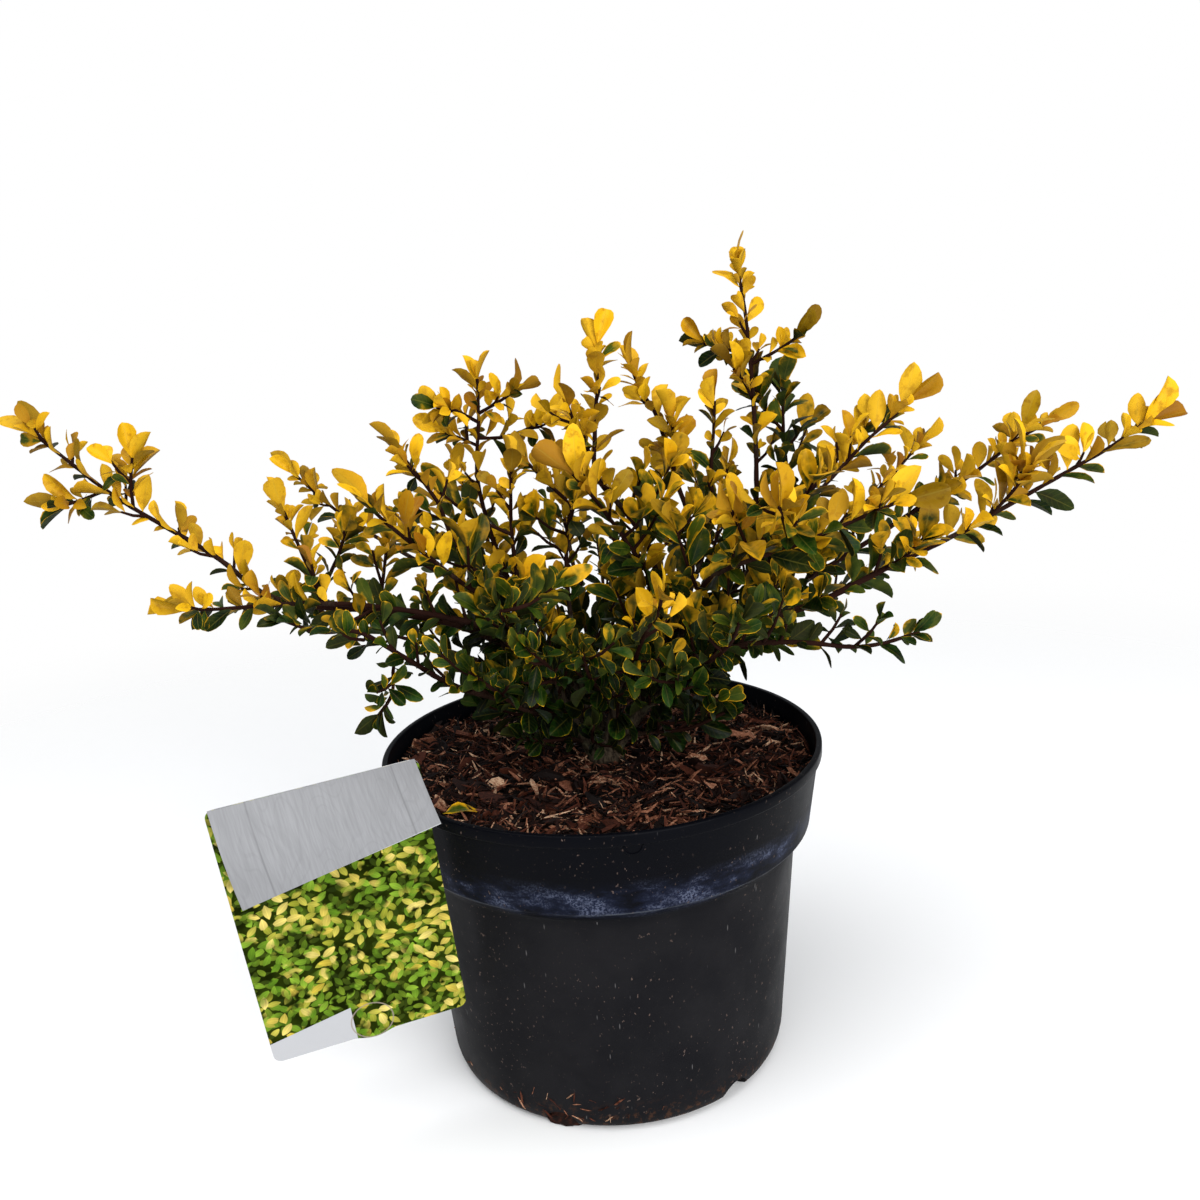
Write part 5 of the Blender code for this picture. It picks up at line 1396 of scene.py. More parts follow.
def bark_finish(settings):
    """Torn bark: dark red-brown to tan, streaked along its fibres."""
    graph = new_material("torn_bark", (0.12, 0.045, 0.02), 0.7, 0.12)
    streaks = graph.noise(graph.stretched(graph.object_place(), (1, 1, 3)), 700.0, 4.0, 0.6)
    shift = graph.math("ADD", graph.attribute("tone"), (streaks - 0.5) * 0.55, clamp=True)
    colour = graph.colours(shift, (
        (0.0, (0.002, 0.0008, 0.0006)), (0.38, settings.dark_bark), (0.72, settings.red_bark),
        (0.93, settings.tan_bark), (1.0, (0.46, 0.30, 0.19))))
    return graph.close({"Base Color": colour, "Normal": graph.bump(streaks, 0.5, 0.0005)})


def soil_finish(name, dark, light):
    graph = new_material(name, light, 0.95, 0.2)
    crumbs = graph.noise(graph.object_place(), 420.0, 5.0, 0.7)
    return graph.close({"Base Color": graph.mix(graph.ramp(crumbs, 0.35, 0.75), dark, light),
                        "Normal": graph.bump(crumbs, 0.8, 0.0015)})


def printed_leaves_group():
    """One layer of small printed leaves, each turned its own way."""
    graph, given = new_tree("Printed leaves", "ShaderNodeTree", (
        ("Place", "Vector", None), ("Leaves per metre", "Float", 130.0), ("Shift", "Vector", None),
        ("Length", "Float", 0.62), ("Width", "Float", 0.3), ("Share", "Float", 0.8)),
        (("Mask", "Float"), ("Tone", "Float"), ("Shade", "Float")))
    spot = graph.vector("ADD", graph.scaled(given["Place"], given["Leaves per metre"]), given["Shift"])
    cells = graph.node("ShaderNodeTexVoronoi", {"Vector": spot, "Scale": 1.0}, voronoi_dimensions="2D")
    chance = graph.node("ShaderNodeSeparateColor", {0: cells["Color"]})
    own = graph.parts(graph.node("ShaderNodeVectorRotate", {
        "Vector": graph.vector("SUBTRACT", spot, cells["Position"]), "Angle": chance * math.tau},
        rotation_type="Z_AXIS"))
    along = own["X"] / given["Length"]
    aside = abs(own["Y"])
    room = given["Width"] * (1.0 - along * along)
    mask = graph.ramp(room - aside, 0.0, 0.07) * (chance[1] < given["Share"])
    shade = graph.ramp(along, -1.0, 1.0) * 0.6 + (1.0 - graph.ramp(aside, 0.0, 0.05)) * 0.3
    return graph.close({"Mask": mask, "Tone": chance[2], "Shade": shade})


# The printed leaves from the lowest layer up: leaves to the metre, shift, share, darkest and lightest colour
PRINTED_LAYERS = (
    (235.0, (3.1, 1.7, 0), 0.70, (0.014, 0.022, 0.002), (0.055, 0.080, 0.007)),
    (225.0, (9.3, 5.2, 0), 0.62, (0.055, 0.110, 0.007), (0.180, 0.260, 0.020)),
    (190.0, (1.9, 8.8, 0), 0.70, (0.100, 0.210, 0.012), (0.250, 0.410, 0.034)),
    (200.0, (6.4, 2.6, 0), 0.66, (0.320, 0.330, 0.030), (0.620, 0.540, 0.090)),
    (172.0, (4.7, 9.1, 0), 0.44, (0.580, 0.440, 0.050), (0.860, 0.700, 0.200)))


def picture_finish(settings):
    """The printed face of the card: a dense mass of small green and yellow leaves above a plain strip."""
    graph = new_material("printed_leaf_picture", (0.25, 0.32, 0.06), 0.5, 0.0)
    place = graph.attribute("card_place", "Vector")
    layer = printed_leaves_group()
    clumps = graph.noise(place, 62.0, 3.0)
    patches = graph.noise(place, 34.0, 2.0)
    colour = graph.mix(graph.ramp(clumps, 0.35, 0.65), (0.006, 0.009, 0.001), (0.016, 0.026, 0.002))
    yellow = graph.ramp(patches, 0.42, 0.52)
    vivid = 1.0 - graph.ramp(patches, 0.50, 0.60)
    for number, (count, shift, share, dark, light) in enumerate(PRINTED_LAYERS):
        leaf = graph.group(layer, {"Place": place, "Leaves per metre": count, "Shift": shift, "Length": 0.72,
                                   "Width": 0.34, "Share": share})
        own = graph.mix(leaf["Tone"], dark, light)
        lit = graph.mix(leaf["Shade"], graph.mix(0.55, own, (0.01, 0.02, 0.005)), own)
        mask = leaf["Mask"]
        if number > 1:
            mask = mask * (graph.ramp(clumps, 0.40, 0.46) * (vivid if number == 2 else yellow))
        colour = graph.mix(mask, colour, lit)
    spot = graph.parts(place)
    slope = (spot["X"] + LABEL_WIDTH / 2) * 0.19 - 0.0583
    ring = graph.vector("DISTANCE", place, (0.0012, -0.0615, 0))
    band = abs(ring - 0.0098) < 0.00035
    colour = graph.layered(colour, ((spot["Y"] < slope) * (spot["X"] < -0.0072), toned(settings.card, 1.75)),
                           (band * 0.75, (0.24, 0.20, 0.16)))
    return graph.close({"Base Color": colour})


def flap_finish(settings):
    """Light grey boards, printed faintly with upright grain and two joints."""
    card = settings.card
    graph = new_material("printed_grey_boards", card, 0.65, 0.15)
    place = graph.attribute("card_place", "Vector")
    grain = graph.noise(graph.stretched(place, (1, 0.06, 1)), 900.0, 4.0, 0.6)
    drift = graph.noise(graph.stretched(place, (1, 0.25, 1)), 60.0, 2.0)
    ring = graph.math("SINE", graph.noise(graph.stretched(place, (1, 0.35, 1)), 55.0, 1.0) * 90.0)
    across = graph.parts(place)["X"] + (drift - 0.5) * 0.0016
    joints = [1.0 - graph.ramp(abs(across - joint), 0.0001, 0.0006) for joint in (-0.029, 0.0335)]
    return graph.close({"Base Color": graph.layered(
        graph.mix(graph.ramp(grain, 0.3, 0.7), toned(card, 0.88), toned(card, 1.04)),
        (graph.ramp(ring, 0.7, 1.0) * 0.14, toned(card, 0.6)),
        (graph.ramp(drift, 0.50, 0.75) * 0.2, toned(card, 0.78)),
        *[(line * 0.45, toned(card, 0.45)) for line in joints])})


def card_finish(settings):
    """The bare back of the card: white board, a little soiled."""
    graph = new_material("bare_card", settings.card, 0.55, 0.2)
    place = graph.object_place()
    stain = graph.ramp(graph.noise(place, 60.0, 4.0, 0.6), 0.5, 0.8)
    return graph.close({"Base Color": graph.mix(stain * 0.35, toned(settings.card, 1.9), (0.33, 0.30, 0.26)),
                        "Normal": graph.bump(graph.noise(place, 1500.0, 2.0), 0.08, 0.0003)})


# Sizes and colours that a user would change


class HollyPotSettings(bpy.types.PropertyGroup):
    sides: IntProperty(name="Pot sides", description="How many sides the turned pot has", default=144, min=24)
    plastic: FloatVectorProperty(name="Plastic", description="Colour of the moulded plastic", subtype="COLOR",
                                 default=(0.0012, 0.0014, 0.0024), min=0, max=1)
    # Pale dust tinted with a painted bluish sheen, in the band along the collar.
    dust: FloatVectorProperty(name="Dust", description="Colour of the dust along the collar", subtype="COLOR",
                              default=(0.130, 0.150, 0.220), min=0, max=1)


class HollyMulchSettings(bpy.types.PropertyGroup):
    fibres: FloatProperty(name="Fibres", description="Bark fibres to the square metre", default=210000.0,
                          min=0)
    longest: FloatProperty(name="Longest fibre", description="Length of the longest fibre", default=0.015,
                           unit="LENGTH", subtype="DISTANCE")
    chips: FloatProperty(name="Chips", description="Flat chips to the square metre", default=12000.0, min=0)
    dark_bark: FloatVectorProperty(name="Dark bark", description="Colour of damp bark", subtype="COLOR",
                                   default=(0.0074, 0.0020, 0.0011), min=0, max=1)
    red_bark: FloatVectorProperty(name="Red bark", description="Colour of most fibres", subtype="COLOR",
                                  default=(0.053, 0.013, 0.0058), min=0, max=1)
    tan_bark: FloatVectorProperty(name="Tan bark", description="Colour of dry fibres", subtype="COLOR",
                                  default=(0.235, 0.096, 0.052), min=0, max=1)


class HollyFoliageSettings(bpy.types.PropertyGroup):
    leaf_size: FloatProperty(name="Leaf size", description="Scale of every leaf", default=1.0, min=0.1, max=2)
    stem_sides: IntProperty(name="Stem sides", description="How many sides a stem has", default=8, min=3)
    wood_sides: IntProperty(name="Wood sides", description="How many sides a branch has", default=12, min=3)
    spur_spacing: FloatProperty(name="Spur spacing", description="Distance between leafy spurs",
                                default=0.016, unit="LENGTH", subtype="DISTANCE")
    inner_spacing: FloatProperty(name="Inner spacing", description="Distance between twigs on the inner wood",
                                 default=0.0045, unit="LENGTH", subtype="DISTANCE")
    inner_fill: FloatProperty(name="Inner fill", description="Share of the inner places that grow a twig",
                              default=0.8, min=0, max=1, subtype="FACTOR")
    # The two greens are darker than holly leaves: partly their own deep green, partly painted shade for the
    # inside of the bush.
    deep_green: FloatVectorProperty(name="Deep green", description="Oldest leaves", subtype="COLOR",
                                    default=(0.0013, 0.0040, 0.0006), min=0, max=1)
    mid_green: FloatVectorProperty(name="Mid green", description="Leaves of the lower stems", subtype="COLOR",
                                   default=(0.0060, 0.0205, 0.0014), min=0, max=1)
    olive: FloatVectorProperty(name="Olive", description="Leaves that begin to turn", subtype="COLOR",
                               default=(0.042, 0.056, 0.0030), min=0, max=1)
    ochre: FloatVectorProperty(name="Ochre", description="Shaded golden leaves", subtype="COLOR",
                               default=(0.570, 0.300, 0.0050), min=0, max=1)
    gold: FloatVectorProperty(name="Gold", description="Youngest leaves in full light", subtype="COLOR",
                              default=(0.635, 0.365, 0.0080), min=0, max=1)
    bronze: FloatVectorProperty(name="Bronze", description="Leaves flushed by cold", subtype="COLOR",
                                default=(0.210, 0.078, 0.0025), min=0, max=1)


class HollyLabelSettings(bpy.types.PropertyGroup):
    card: FloatVectorProperty(name="Card", description="Light grey of the card", subtype="COLOR",
                              default=(0.216, 0.218, 0.226), min=0, max=1)
    thickness: FloatProperty(name="Card thickness", description="Thickness of the folded card",
                             default=0.0005, unit="LENGTH", subtype="DISTANCE")


class HollyStudioSettings(bpy.types.PropertyGroup):
    lens: FloatProperty(name="Lens", description="Focal length", default=34.65, unit="CAMERA")
    floor: FloatVectorProperty(name="Floor", description="Colour of the floor", subtype="COLOR",
                               default=(0.86, 0.86, 0.86), min=0, max=1)
    sky: FloatProperty(name="Soft light", description="Strength of the light from all round", default=0.60,
                       min=0)
    key: FloatProperty(name="Key light", description="Power of the large light overhead", default=19.0,
                       min=0, unit="POWER")
    fill: FloatProperty(name="Fill light", description="Power of the light from the front", default=29.0,
                        min=0, unit="POWER")


# Pot and filling


def body_radius(height):
    """The outside of the tapering body, between its foot and the neck under the collar."""
    share = (height - FOOT_ROUNDING) / (NECK_TOP - FOOT_ROUNDING)
    return BODY_FOOT_RADIUS + (NECK_RADIUS - BODY_FOOT_RADIUS) * share


def collar_radius(height):
    share = (height - COLLAR_FOOT) / COLLAR_HEIGHT
    return COLLAR_FOOT_RADIUS + (RIM_RADIUS - LIP_STANDS_OUT - COLLAR_FOOT_RADIUS) * share


def inner_radius(height):
    """The inside of the pot: in the collar above the step, in the body below it."""
    if height > COLLAR_FOOT:
        return collar_radius(height) - POT_WALL
    return body_radius(height) - POT_WALL


def turned(name, profile, steps):
    """A closed profile of (radius, height) points, turned once round the Z axis."""
    shape = bmesh.new()
    points = [shape.verts.new((radius, 0, height)) for radius, height in profile]
    for first, second in zip(points, points[1:] + points[:1]):
        if first.co.x > 0 or second.co.x > 0:
            shape.edges.new((first, second))
    made = object_of(name, shape)
    screw = made.modifiers.new("turn", "SCREW")
    screw.steps = steps
    screw.render_steps = steps
    screw.use_merge_vertices = True
    screw.merge_threshold = 0.000001
    apply_modifiers(made)
    shape = shape_of(made)
    bmesh.ops.recalc_face_normals(shape, faces=shape.faces[:])
    shape.to_mesh(made.data)
    shape.free()
    return made


def eased(profile):
    """A profile of (radius, height, rounding) with each corner rounded off by its own amount."""
    corners = [(Vector((radius, height)), ease) for radius, height, ease in profile]
    found = []
    for number, (corner, ease) in enumerate(corners):
        before = corners[number - 1][0]
        after = corners[(number + 1) % len(corners)][0]
        if not ease:
            found.append(tuple(corner))
            continue
        start = corner + (before - corner).normalized() * ease
        end = corner + (after - corner).normalized() * ease
        for step in range(4):
            share = step / 3
            found.append(tuple(start.lerp(corner, share).lerp(corner.lerp(end, share), share)))
    return found


def pot_profile():
    foot_middle = BODY_FOOT_RADIUS - FOOT_ROUNDING * 0.29
    return eased((
        (collar_radius(POT_HEIGHT) - POT_WALL, POT_HEIGHT, 0.0005),
        (RIM_RADIUS, POT_HEIGHT, 0.0009),
        (RIM_RADIUS, LIP_FOOT, 0.0007),
        (collar_radius(LIP_FOOT), LIP_FOOT - 0.001, 0.0006),
        (COLLAR_FOOT_RADIUS, COLLAR_FOOT + 0.0004, 0.0012),
        (COLLAR_FOOT_RADIUS - 0.0018, COLLAR_FOOT - 0.0006, 0.0008),
        (NECK_RADIUS, NECK_TOP, 0.0025),
        (BODY_FOOT_RADIUS, FOOT_ROUNDING, 0.003),
        (foot_middle, FOOT_ROUNDING * 0.29, 0.002),
        (BODY_FOOT_RADIUS - FOOT_ROUNDING, 0, 0.0015),
        (0, 0, 0),
        (0, POT_WALL, 0),
        (BODY_FOOT_RADIUS - FOOT_ROUNDING, POT_WALL, 0.0015),
        (inner_radius(FOOT_ROUNDING), FOOT_ROUNDING + POT_WALL, 0.002),
        (inner_radius(NECK_TOP), NECK_TOP + POT_WALL, 0.0015),
        (inner_radius(COLLAR_FOOT + POT_WALL), COLLAR_FOOT + 2 * POT_WALL, 0.0008)))


def half_ring(shape, steps=16, sides=6):
    """The small half-round mark moulded under the lip."""
    rings = []
    turn = Matrix.Rotation(MARK_ANGLE, 4, "Z")
    height = LIP_FOOT - MARK_DROP
    for step in range(steps + 1):
        sweep = math.pi * (1 + step / steps)
        middle = Vector((0, math.cos(sweep) * MARK_RADIUS, math.sin(sweep) * MARK_RADIUS))
        ring = []
        for side in range(sides):
            lean = math.tau * side / sides
            out = middle.normalized() * math.cos(lean) + Vector((1, 0, 0)) * math.sin(lean)
            spot = middle + out * MARK_THICKNESS
            spot.x += collar_radius(height + spot.z)
            spot.z += height
            ring.append(shape.verts.new(turn @ spot))
        rings.append(ring)
    skin(shape, rings)


def drain_place(number, depth):
    """A place in one of the drainage openings, at a depth from the outside of the pot's foot."""
    angle = DRAIN_FIRST_ANGLE + number * math.tau / DRAIN_COUNT
    return standing(angle, BODY_FOOT_RADIUS - depth, DRAIN_HEIGHT)


def stuck_crumbs(finish):
    """Shreds of bark that stick to the pot's foot, and compost in all its openings but one."""
    dice = random.Random("stuck crumbs")
    shape = bmesh.new()
    slivers = [sliver_shape(number, False) for number in range(3)]
    tone = shape.verts.layers.float.new("tone")
    for number in range(CRUMBS):
        angle = math.radians(dice.gauss(CRUMB_SIDE, CRUMB_SPREAD) if number % 2 else dice.uniform(-180, 180))
        height = FOOT_ROUNDING + dice.random() ** 2 * CRUMB_RISE
        length = dice.uniform(*CRUMB_LENGTHS)
        thick = length * dice.uniform(*CRUMB_THICKNESSES)
        out = body_radius(height) + thick * 0.3
        lie = standing(angle, out, height) @ Matrix.Rotation(dice.uniform(0, math.pi), 4, "X")
        lie = lie @ Matrix.Rotation(math.pi / 2, 4, "Z")
        first = len(shape.verts)
        shape.from_mesh(dice.choice(slivers).data)
        shape.verts.ensure_lookup_table()
        shade = dice.uniform(0.45, 1.0)
        for corner in shape.verts[first:]:
            corner.co = lie @ Vector((corner.co.x * length, corner.co.y * thick, corner.co.z * thick))
            corner[tone] = shade
    for sliver in slivers:
        remove(sliver)
    for number in range(1, DRAIN_COUNT):
        lie = drain_place(number, PLUG_DEPTH)
        for corner in bmesh.ops.create_icosphere(shape, subdivisions=3, radius=1)["verts"]:
            x, y, z = corner.co
            swell = 1 + 0.1 * math.sin(9 * x + number) * math.sin(11 * y) + dice.uniform(-0.05, 0.05)
            corner.co = lie @ Vector([part * half * swell for part, half in zip((x, y, z), PLUG_HALF_SIZES)])
            corner.co.z = max(corner.co.z, PLUG_FLOOR)
            corner[tone] = dice.uniform(0.15, 0.6)
    bmesh.ops.recalc_face_normals(shape, faces=shape.faces[:])
    made = object_of("stuck_crumbs", shape)
    made.data.materials.append(finish)
    return settle(made, "bark")


def make_pot(settings):
    pot = turned("moulded_pot", pot_profile(), settings.sides)
    cutters = bpy.data.collections.new("drain cutters")
    bpy.context.scene.collection.children.link(cutters)
    for number in range(DRAIN_COUNT):
        shape = bmesh.new()
        bmesh.ops.create_cone(shape, cap_ends=True, segments=32, radius1=DRAIN_WIDTH / 2,
                              radius2=DRAIN_WIDTH / 2, depth=DRAIN_DEPTH)
        lie = drain_place(number, 0.001) @ Matrix.Rotation(math.pi / 2, 4, "Y")
        bmesh.ops.transform(shape, matrix=lie, verts=shape.verts)
        cutters.objects.link(object_of(f"drain_{number}", shape))
    cut = pot.modifiers.new("drains", "BOOLEAN")
    cut.operand_type = "COLLECTION"
    cut.collection = cutters
    cut.solver = "EXACT"
    apply_modifiers(pot)
    clear_shapes(cutters)
    shape = shape_of(pot)
    half_ring(shape)
    shape.to_mesh(pot.data)
    shape.free()
    pot.data.shade_smooth()
    pot.data.set_sharp_from_angle(angle=POT_CREASE)
    pot.data.materials.clear()
    pot.data.materials.append(pot_finish(settings))
    return settle(pot, "pot_plastic", "nursery_pot")


def mulch_relief(x, y):
    """Height of the loose surface above or below its mean."""
    waves = math.sin(x * 190 + 1.3 * math.sin(y * 120)) + math.sin(y * 170 + 1.7 * math.sin(x * 110 + 2))
    return MULCH_RELIEF * 0.5 * waves


def mulch_ground(rings=22, steps=96):
    """The damp layer under the fibres, with the same relief as the solid. Its finish is darkened further as
    painted shade.
    """
    outer = inner_radius(MULCH_FOOT) - 2 * GAP
    inner = STOCK_RADIUS * 0.9
    radii = [inner + (outer - inner) * ring / rings for ring in range(rings + 1)]
    profile = [(radius, MULCH_TOP) for radius in radii] + [(outer, MULCH_FOOT), (inner, MULCH_FOOT)]
    ground = turned("mulch_ground", profile, steps)
    for corner in ground.data.vertices:
        if corner.co.z > MULCH_FOOT + GAP:
            x, y = corner.co.x, corner.co.y
            rough = math.sin(x * 713 + 3 * math.sin(y * 501)) * math.sin(y * 655 + 2 * math.sin(x * 433))
            corner.co.z += mulch_relief(x, y) + 0.0007 * rough - 0.0006
    ground.data.shade_smooth()
    return ground


def chip_shape(shape, dice):
    """One of the larger pieces of bark that the solid has, with torn ends and a lengthwise split."""
    length = dice.uniform(*CHIP_LENGTHS)
    width = length * dice.uniform(0.2, 0.4)
    narrow = [1 - 0.5 * dice.random() for _ in range(4)]
    distance = math.sqrt(dice.uniform(0.12, 0.78)) * (inner_radius(MULCH_TOP) - 0.006)
    angle = dice.uniform(0, math.tau)
    x = distance * math.cos(angle)
    y = distance * math.sin(angle)
    tilt = Euler((dice.uniform(-0.3, 0.3), dice.uniform(-0.25, 0.25), dice.uniform(0, math.tau)))
    place = Matrix.Translation((x, y, MULCH_TOP + mulch_relief(x, y) - 0.0002)) @ tilt.to_matrix().to_4x4()
    torn = random.Random(f"{x:.4f}")
    tone = shape.verts.layers.float["tone"]
    shade = torn.uniform(0.45, 0.85)
    rows = []
    for step in range(7):
        along = step / 6
        ragged = step in (0, 6)
        taper = 1 - (1 - narrow[0]) * along
        edge = 0.5 * taper * width * (0.45 if ragged else torn.uniform(0.85, 1.05))
        row = []
        for across, high in ((-1, -1), (-1, 0.6), (-0.3, 1), (0.3, 0.75), (1, 0.9), (1, -1)):
            jag = torn.uniform(-0.04, 0.04) * length if ragged else 0
            swell = high * CHIP_HALF_HEIGHT * (1 + 0.15 * math.sin(7 * along + across))
            made = shape.verts.new(place @ Vector(((along - 0.5) * length + jag, across * edge, swell)))
            made[tone] = shade + torn.uniform(-0.08, 0.08)
            row.append(made)
        rows.append(row)
    skin(shape, rows)


def strewn(ground, shapes, values):
    """A plain mesh of the pieces that a litter tree strews over the ground."""
    source = new_object("strewn", ground.data.copy())
    node_modifier(source, litter_tree(), {"Shapes": shapes, **values})
    mesh = evaluated_mesh(source)
    remove(source)
    return mesh


def make_mulch(settings):
    bark = bark_finish(settings)
    ground = mulch_ground()
    limit = inner_radius(MULCH_TOP) - 0.0006
    fibres = shape_collection("fibres", [sliver_shape(number, False) for number in range(6)])
    chips = shape_collection("chips", [sliver_shape(10 + number, True) for number in range(5)])
    inputs = ("Pieces per square metre", "Shortest", "Longest", "Thickness share", "Pile height", "Steepest",
              "Seed", "Wall radius", "Finish")
    layers = [strewn(ground, shapes, dict(zip(inputs, (*values, limit, bark)))) for shapes, values in (
        (fibres, (settings.fibres, 0.003, settings.longest, 0.06, 0.0034, 0.70, 3)),
        (chips, (settings.chips, 0.006, 0.019, 0.22, 0.0032, 0.55, 8)))]
    shape = bmesh.new()
    shape.verts.layers.float.new("tone")
    dice = random.Random("mulch")
    for _ in range(CHIP_COUNT):
        chip_shape(shape, dice)
    big = object_of("big_chips", shape)
    big.data.materials.append(bark)
    # Dark soil under the fibres, darkened further as painted shade for the gaps between the pieces.
    ground.data.materials.append(
        soil_finish("damp_mulch_ground", (0.0015, 0.0008, 0.0006), (0.011, 0.0040, 0.0024)))
    pieces = [ground, big] + [new_object(f"layer_{number}", mesh) for number, mesh in enumerate(layers)]
    stuck_crumbs(bark)
    mulch = joined("bark_mulch_litter", pieces)
    clear_shapes(fibres, chips)
    return settle(mulch, "bark", "bark_mulch")


def joined(name, pieces):
    """One object of several, each with its own finish."""
    bpy.ops.object.select_all(action="DESELECT")
    for piece in pieces:
        piece.select_set(True)
    bpy.context.view_layer.objects.active = pieces[0]
    bpy.ops.object.join()
    pieces[0].name = name
    return pieces[0]


def clear_shapes(*collections):
    for held in collections:
        for item in list(held.objects):
            remove(item)
        bpy.data.collections.remove(held)


# Label


def label_point(across, out, up):
    """A place given from the middle of the card: across it, out behind it, and up it."""
    return LABEL_CENTRE + LABEL_TURN.to_matrix() @ Vector((across, out, up))


def rim_point(radius, height):
    return Vector((radius * math.cos(TONGUE_ANGLE), radius * math.sin(TONGUE_ANGLE), height))


def card_outline():
    """The card's edge, from its lower left corner: rounded corners, and a shallow tab in the lower edge."""
    half = LABEL_WIDTH / 2
    tall = LABEL_LENGTH / 2
    found = []
    for right, up, first in ((1, -1, -90), (1, 1, 0), (-1, 1, 90), (-1, -1, 180)):
        x = right * half - math.copysign(LABEL_CORNER, right)
        z = up * tall - math.copysign(LABEL_CORNER, up)
        for step in range(6):
            angle = math.radians(first + 18 * step)
            found.append((x + math.cos(angle) * LABEL_CORNER, z + math.sin(angle) * LABEL_CORNER))
    for step in range(11):
        x = -0.0088 + 0.02 * step / 10
        found.append((x, -tall - 0.0022 * math.sin(math.pi * step / 10) ** 1.5))
    return found


def sheet_of(name, rows, places, thickness, finishes):
    """A thin sheet through rows of points. Its front takes the first finish, all the rest the second."""
    shape = bmesh.new()
    own = shape.verts.layers.float_vector.new("card_place")
    grid = []
    for row, marks in zip(rows, places):
        grid.append([])
        for point, mark in zip(row, marks):
            made = shape.verts.new(point)
            made[own] = mark
            grid[-1].append(made)
    for upper, lower in zip(grid, grid[1:]):
        for place in range(len(upper) - 1):
            shape.faces.new((upper[place], lower[place], lower[place + 1], upper[place + 1]))
    made = object_of(name, shape)
    return thickened(made, thickness, finishes)


def thickened(item, thickness, finishes):
    for finish in finishes:
        item.data.materials.append(finish)
    wall = item.modifiers.new("thickness", "SOLIDIFY")
    wall.thickness = thickness
    wall.offset = 0
    wall.use_even_offset = True
    wall.material_offset = 1
    wall.material_offset_rim = 1
    apply_modifiers(item)
    item.data.shade_smooth()
    item.data.set_sharp_from_angle(angle=CARD_CREASE)
    return item


def make_label(settings):
    plain = card_finish(settings)
    shape = bmesh.new()
    own = shape.verts.layers.float_vector.new("card_place")
    corners = []
    for x, z in card_outline():
        made = shape.verts.new(label_point(x, 0, z))
        made[own] = (x, z, 0)
        corners.append(made)
    shape.faces.new(corners)
    card = thickened(object_of("card", shape), settings.thickness, (picture_finish(settings), plain))
    rows = []
    places = []
    top = LABEL_LENGTH / 2 - settings.thickness / 2
    inset = LABEL_WIDTH / 2 - FLAP_INSET
    corner = Vector((-LABEL_WIDTH / 2 - 0.0004, 0, top)) + FLAP_LEFT
    other = Vector((LABEL_WIDTH / 2 - 0.0004, 0, top)) + FLAP_RIGHT
    shares = [step / FLAP_STEPS for step in range(FLAP_STEPS + 1)]
    for drop in shares:
        hinges = [Vector((-inset + 2 * inset * share, 0, top)) for share in shares]
        row = [hinge.lerp(corner.lerp(other, share), drop) for hinge, share in zip(hinges, shares)]
        for spot in row:
            spot.y -= FLAP_BULGE * math.sin(math.pi * drop) + 0.0004 * (1 - drop) * (drop > 0)
        rows.append([label_point(*spot) for spot in row])
        places.append([(hinge.x, -FLAP_PRINT_LENGTH * drop, 0) for hinge in hinges])
    flap = sheet_of("flap", rows, places, settings.thickness, (flap_finish(settings), plain))
    across_card = LABEL_TURN.to_matrix() @ Vector((1, 0, 0))
    along_rim = Vector((-math.sin(TONGUE_ANGLE), math.cos(TONGUE_ANGLE), 0))
    over = POT_HEIGHT + LABEL_THICKNESS / 2 + 1.4 * GAP
    stations = (
        (label_point(*TONGUE_AT_CARD), 0),
        (label_point(TONGUE_AT_CARD.x, 0.008, TONGUE_AT_CARD.z), 0.2),
        (rim_point(RIM_RADIUS + 0.004, over + 0.0005), 0.9),
        (rim_point(RIM_RADIUS - 0.004, over + 0.0005), 1),
        (rim_point(TONGUE_RADIUS_INSIDE, POT_HEIGHT - 0.004), 1),
        (rim_point(TONGUE_RADIUS_INSIDE, TONGUE_FOOT), 1))
    rows = []
    for middle, share in stations:
        half = across_card.lerp(along_rim, share).normalized() * TONGUE_WIDTH / 2
        rows.append([middle - half, middle + half])
    tongue = sheet_of("tongue", rows, [[(0, 0, 0)] * 2] * len(rows), settings.thickness, (plain, plain))
    label = joined("folded_plant_label", [card, flap, tongue])
    return settle(label, "label_card", "plant_label")


# Plant


def shoot_object(name, lines, leaves):
    """The lines of some stems and the loose points of some leaves, with what the tree asks of each."""
    points = []
    edges = []
    thick = []
    age = []
    for line in lines:
        first = len(points)
        points += line.points
        edges += [(place, place + 1) for place in range(first, len(points) - 1)]
        thick += line.radii
        age += line.age
    wood = len(points)
    points += [leaf.root for leaf in leaves]
    mesh = bpy.data.meshes.new(name)
    mesh.from_pydata(points, edges, [])
    blank = [0.0] * wood
    facings = [part for leaf in leaves for part in leaf.facing]
    sizes = [part for leaf in leaves for part in (leaf.width, leaf.length, leaf.length)]
    for label, kind, values in (
            ("leaf", "BOOLEAN", [False] * wood + [True] * len(leaves)),
            ("thick", "FLOAT", thick + [0.0] * len(leaves)),
            ("age", "FLOAT", age + [0.0] * len(leaves)),
            ("tone", "FLOAT", blank + [leaf.tone for leaf in leaves]),
            ("bronze", "FLOAT", blank + [leaf.bronze for leaf in leaves]),
            ("shape", "INT", [0] * wood + [leaf.shape for leaf in leaves]),
            ("facing", "QUATERNION", [1.0, 0.0, 0.0, 0.0] * wood + facings),
            ("size", "FLOAT_VECTOR", [1.0] * 3 * wood + sizes)):
        field = "vector" if kind == "FLOAT_VECTOR" else "value"
        mesh.attributes.new(label, kind, "POINT").data.foreach_set(field, values)
    return new_object(name, mesh)


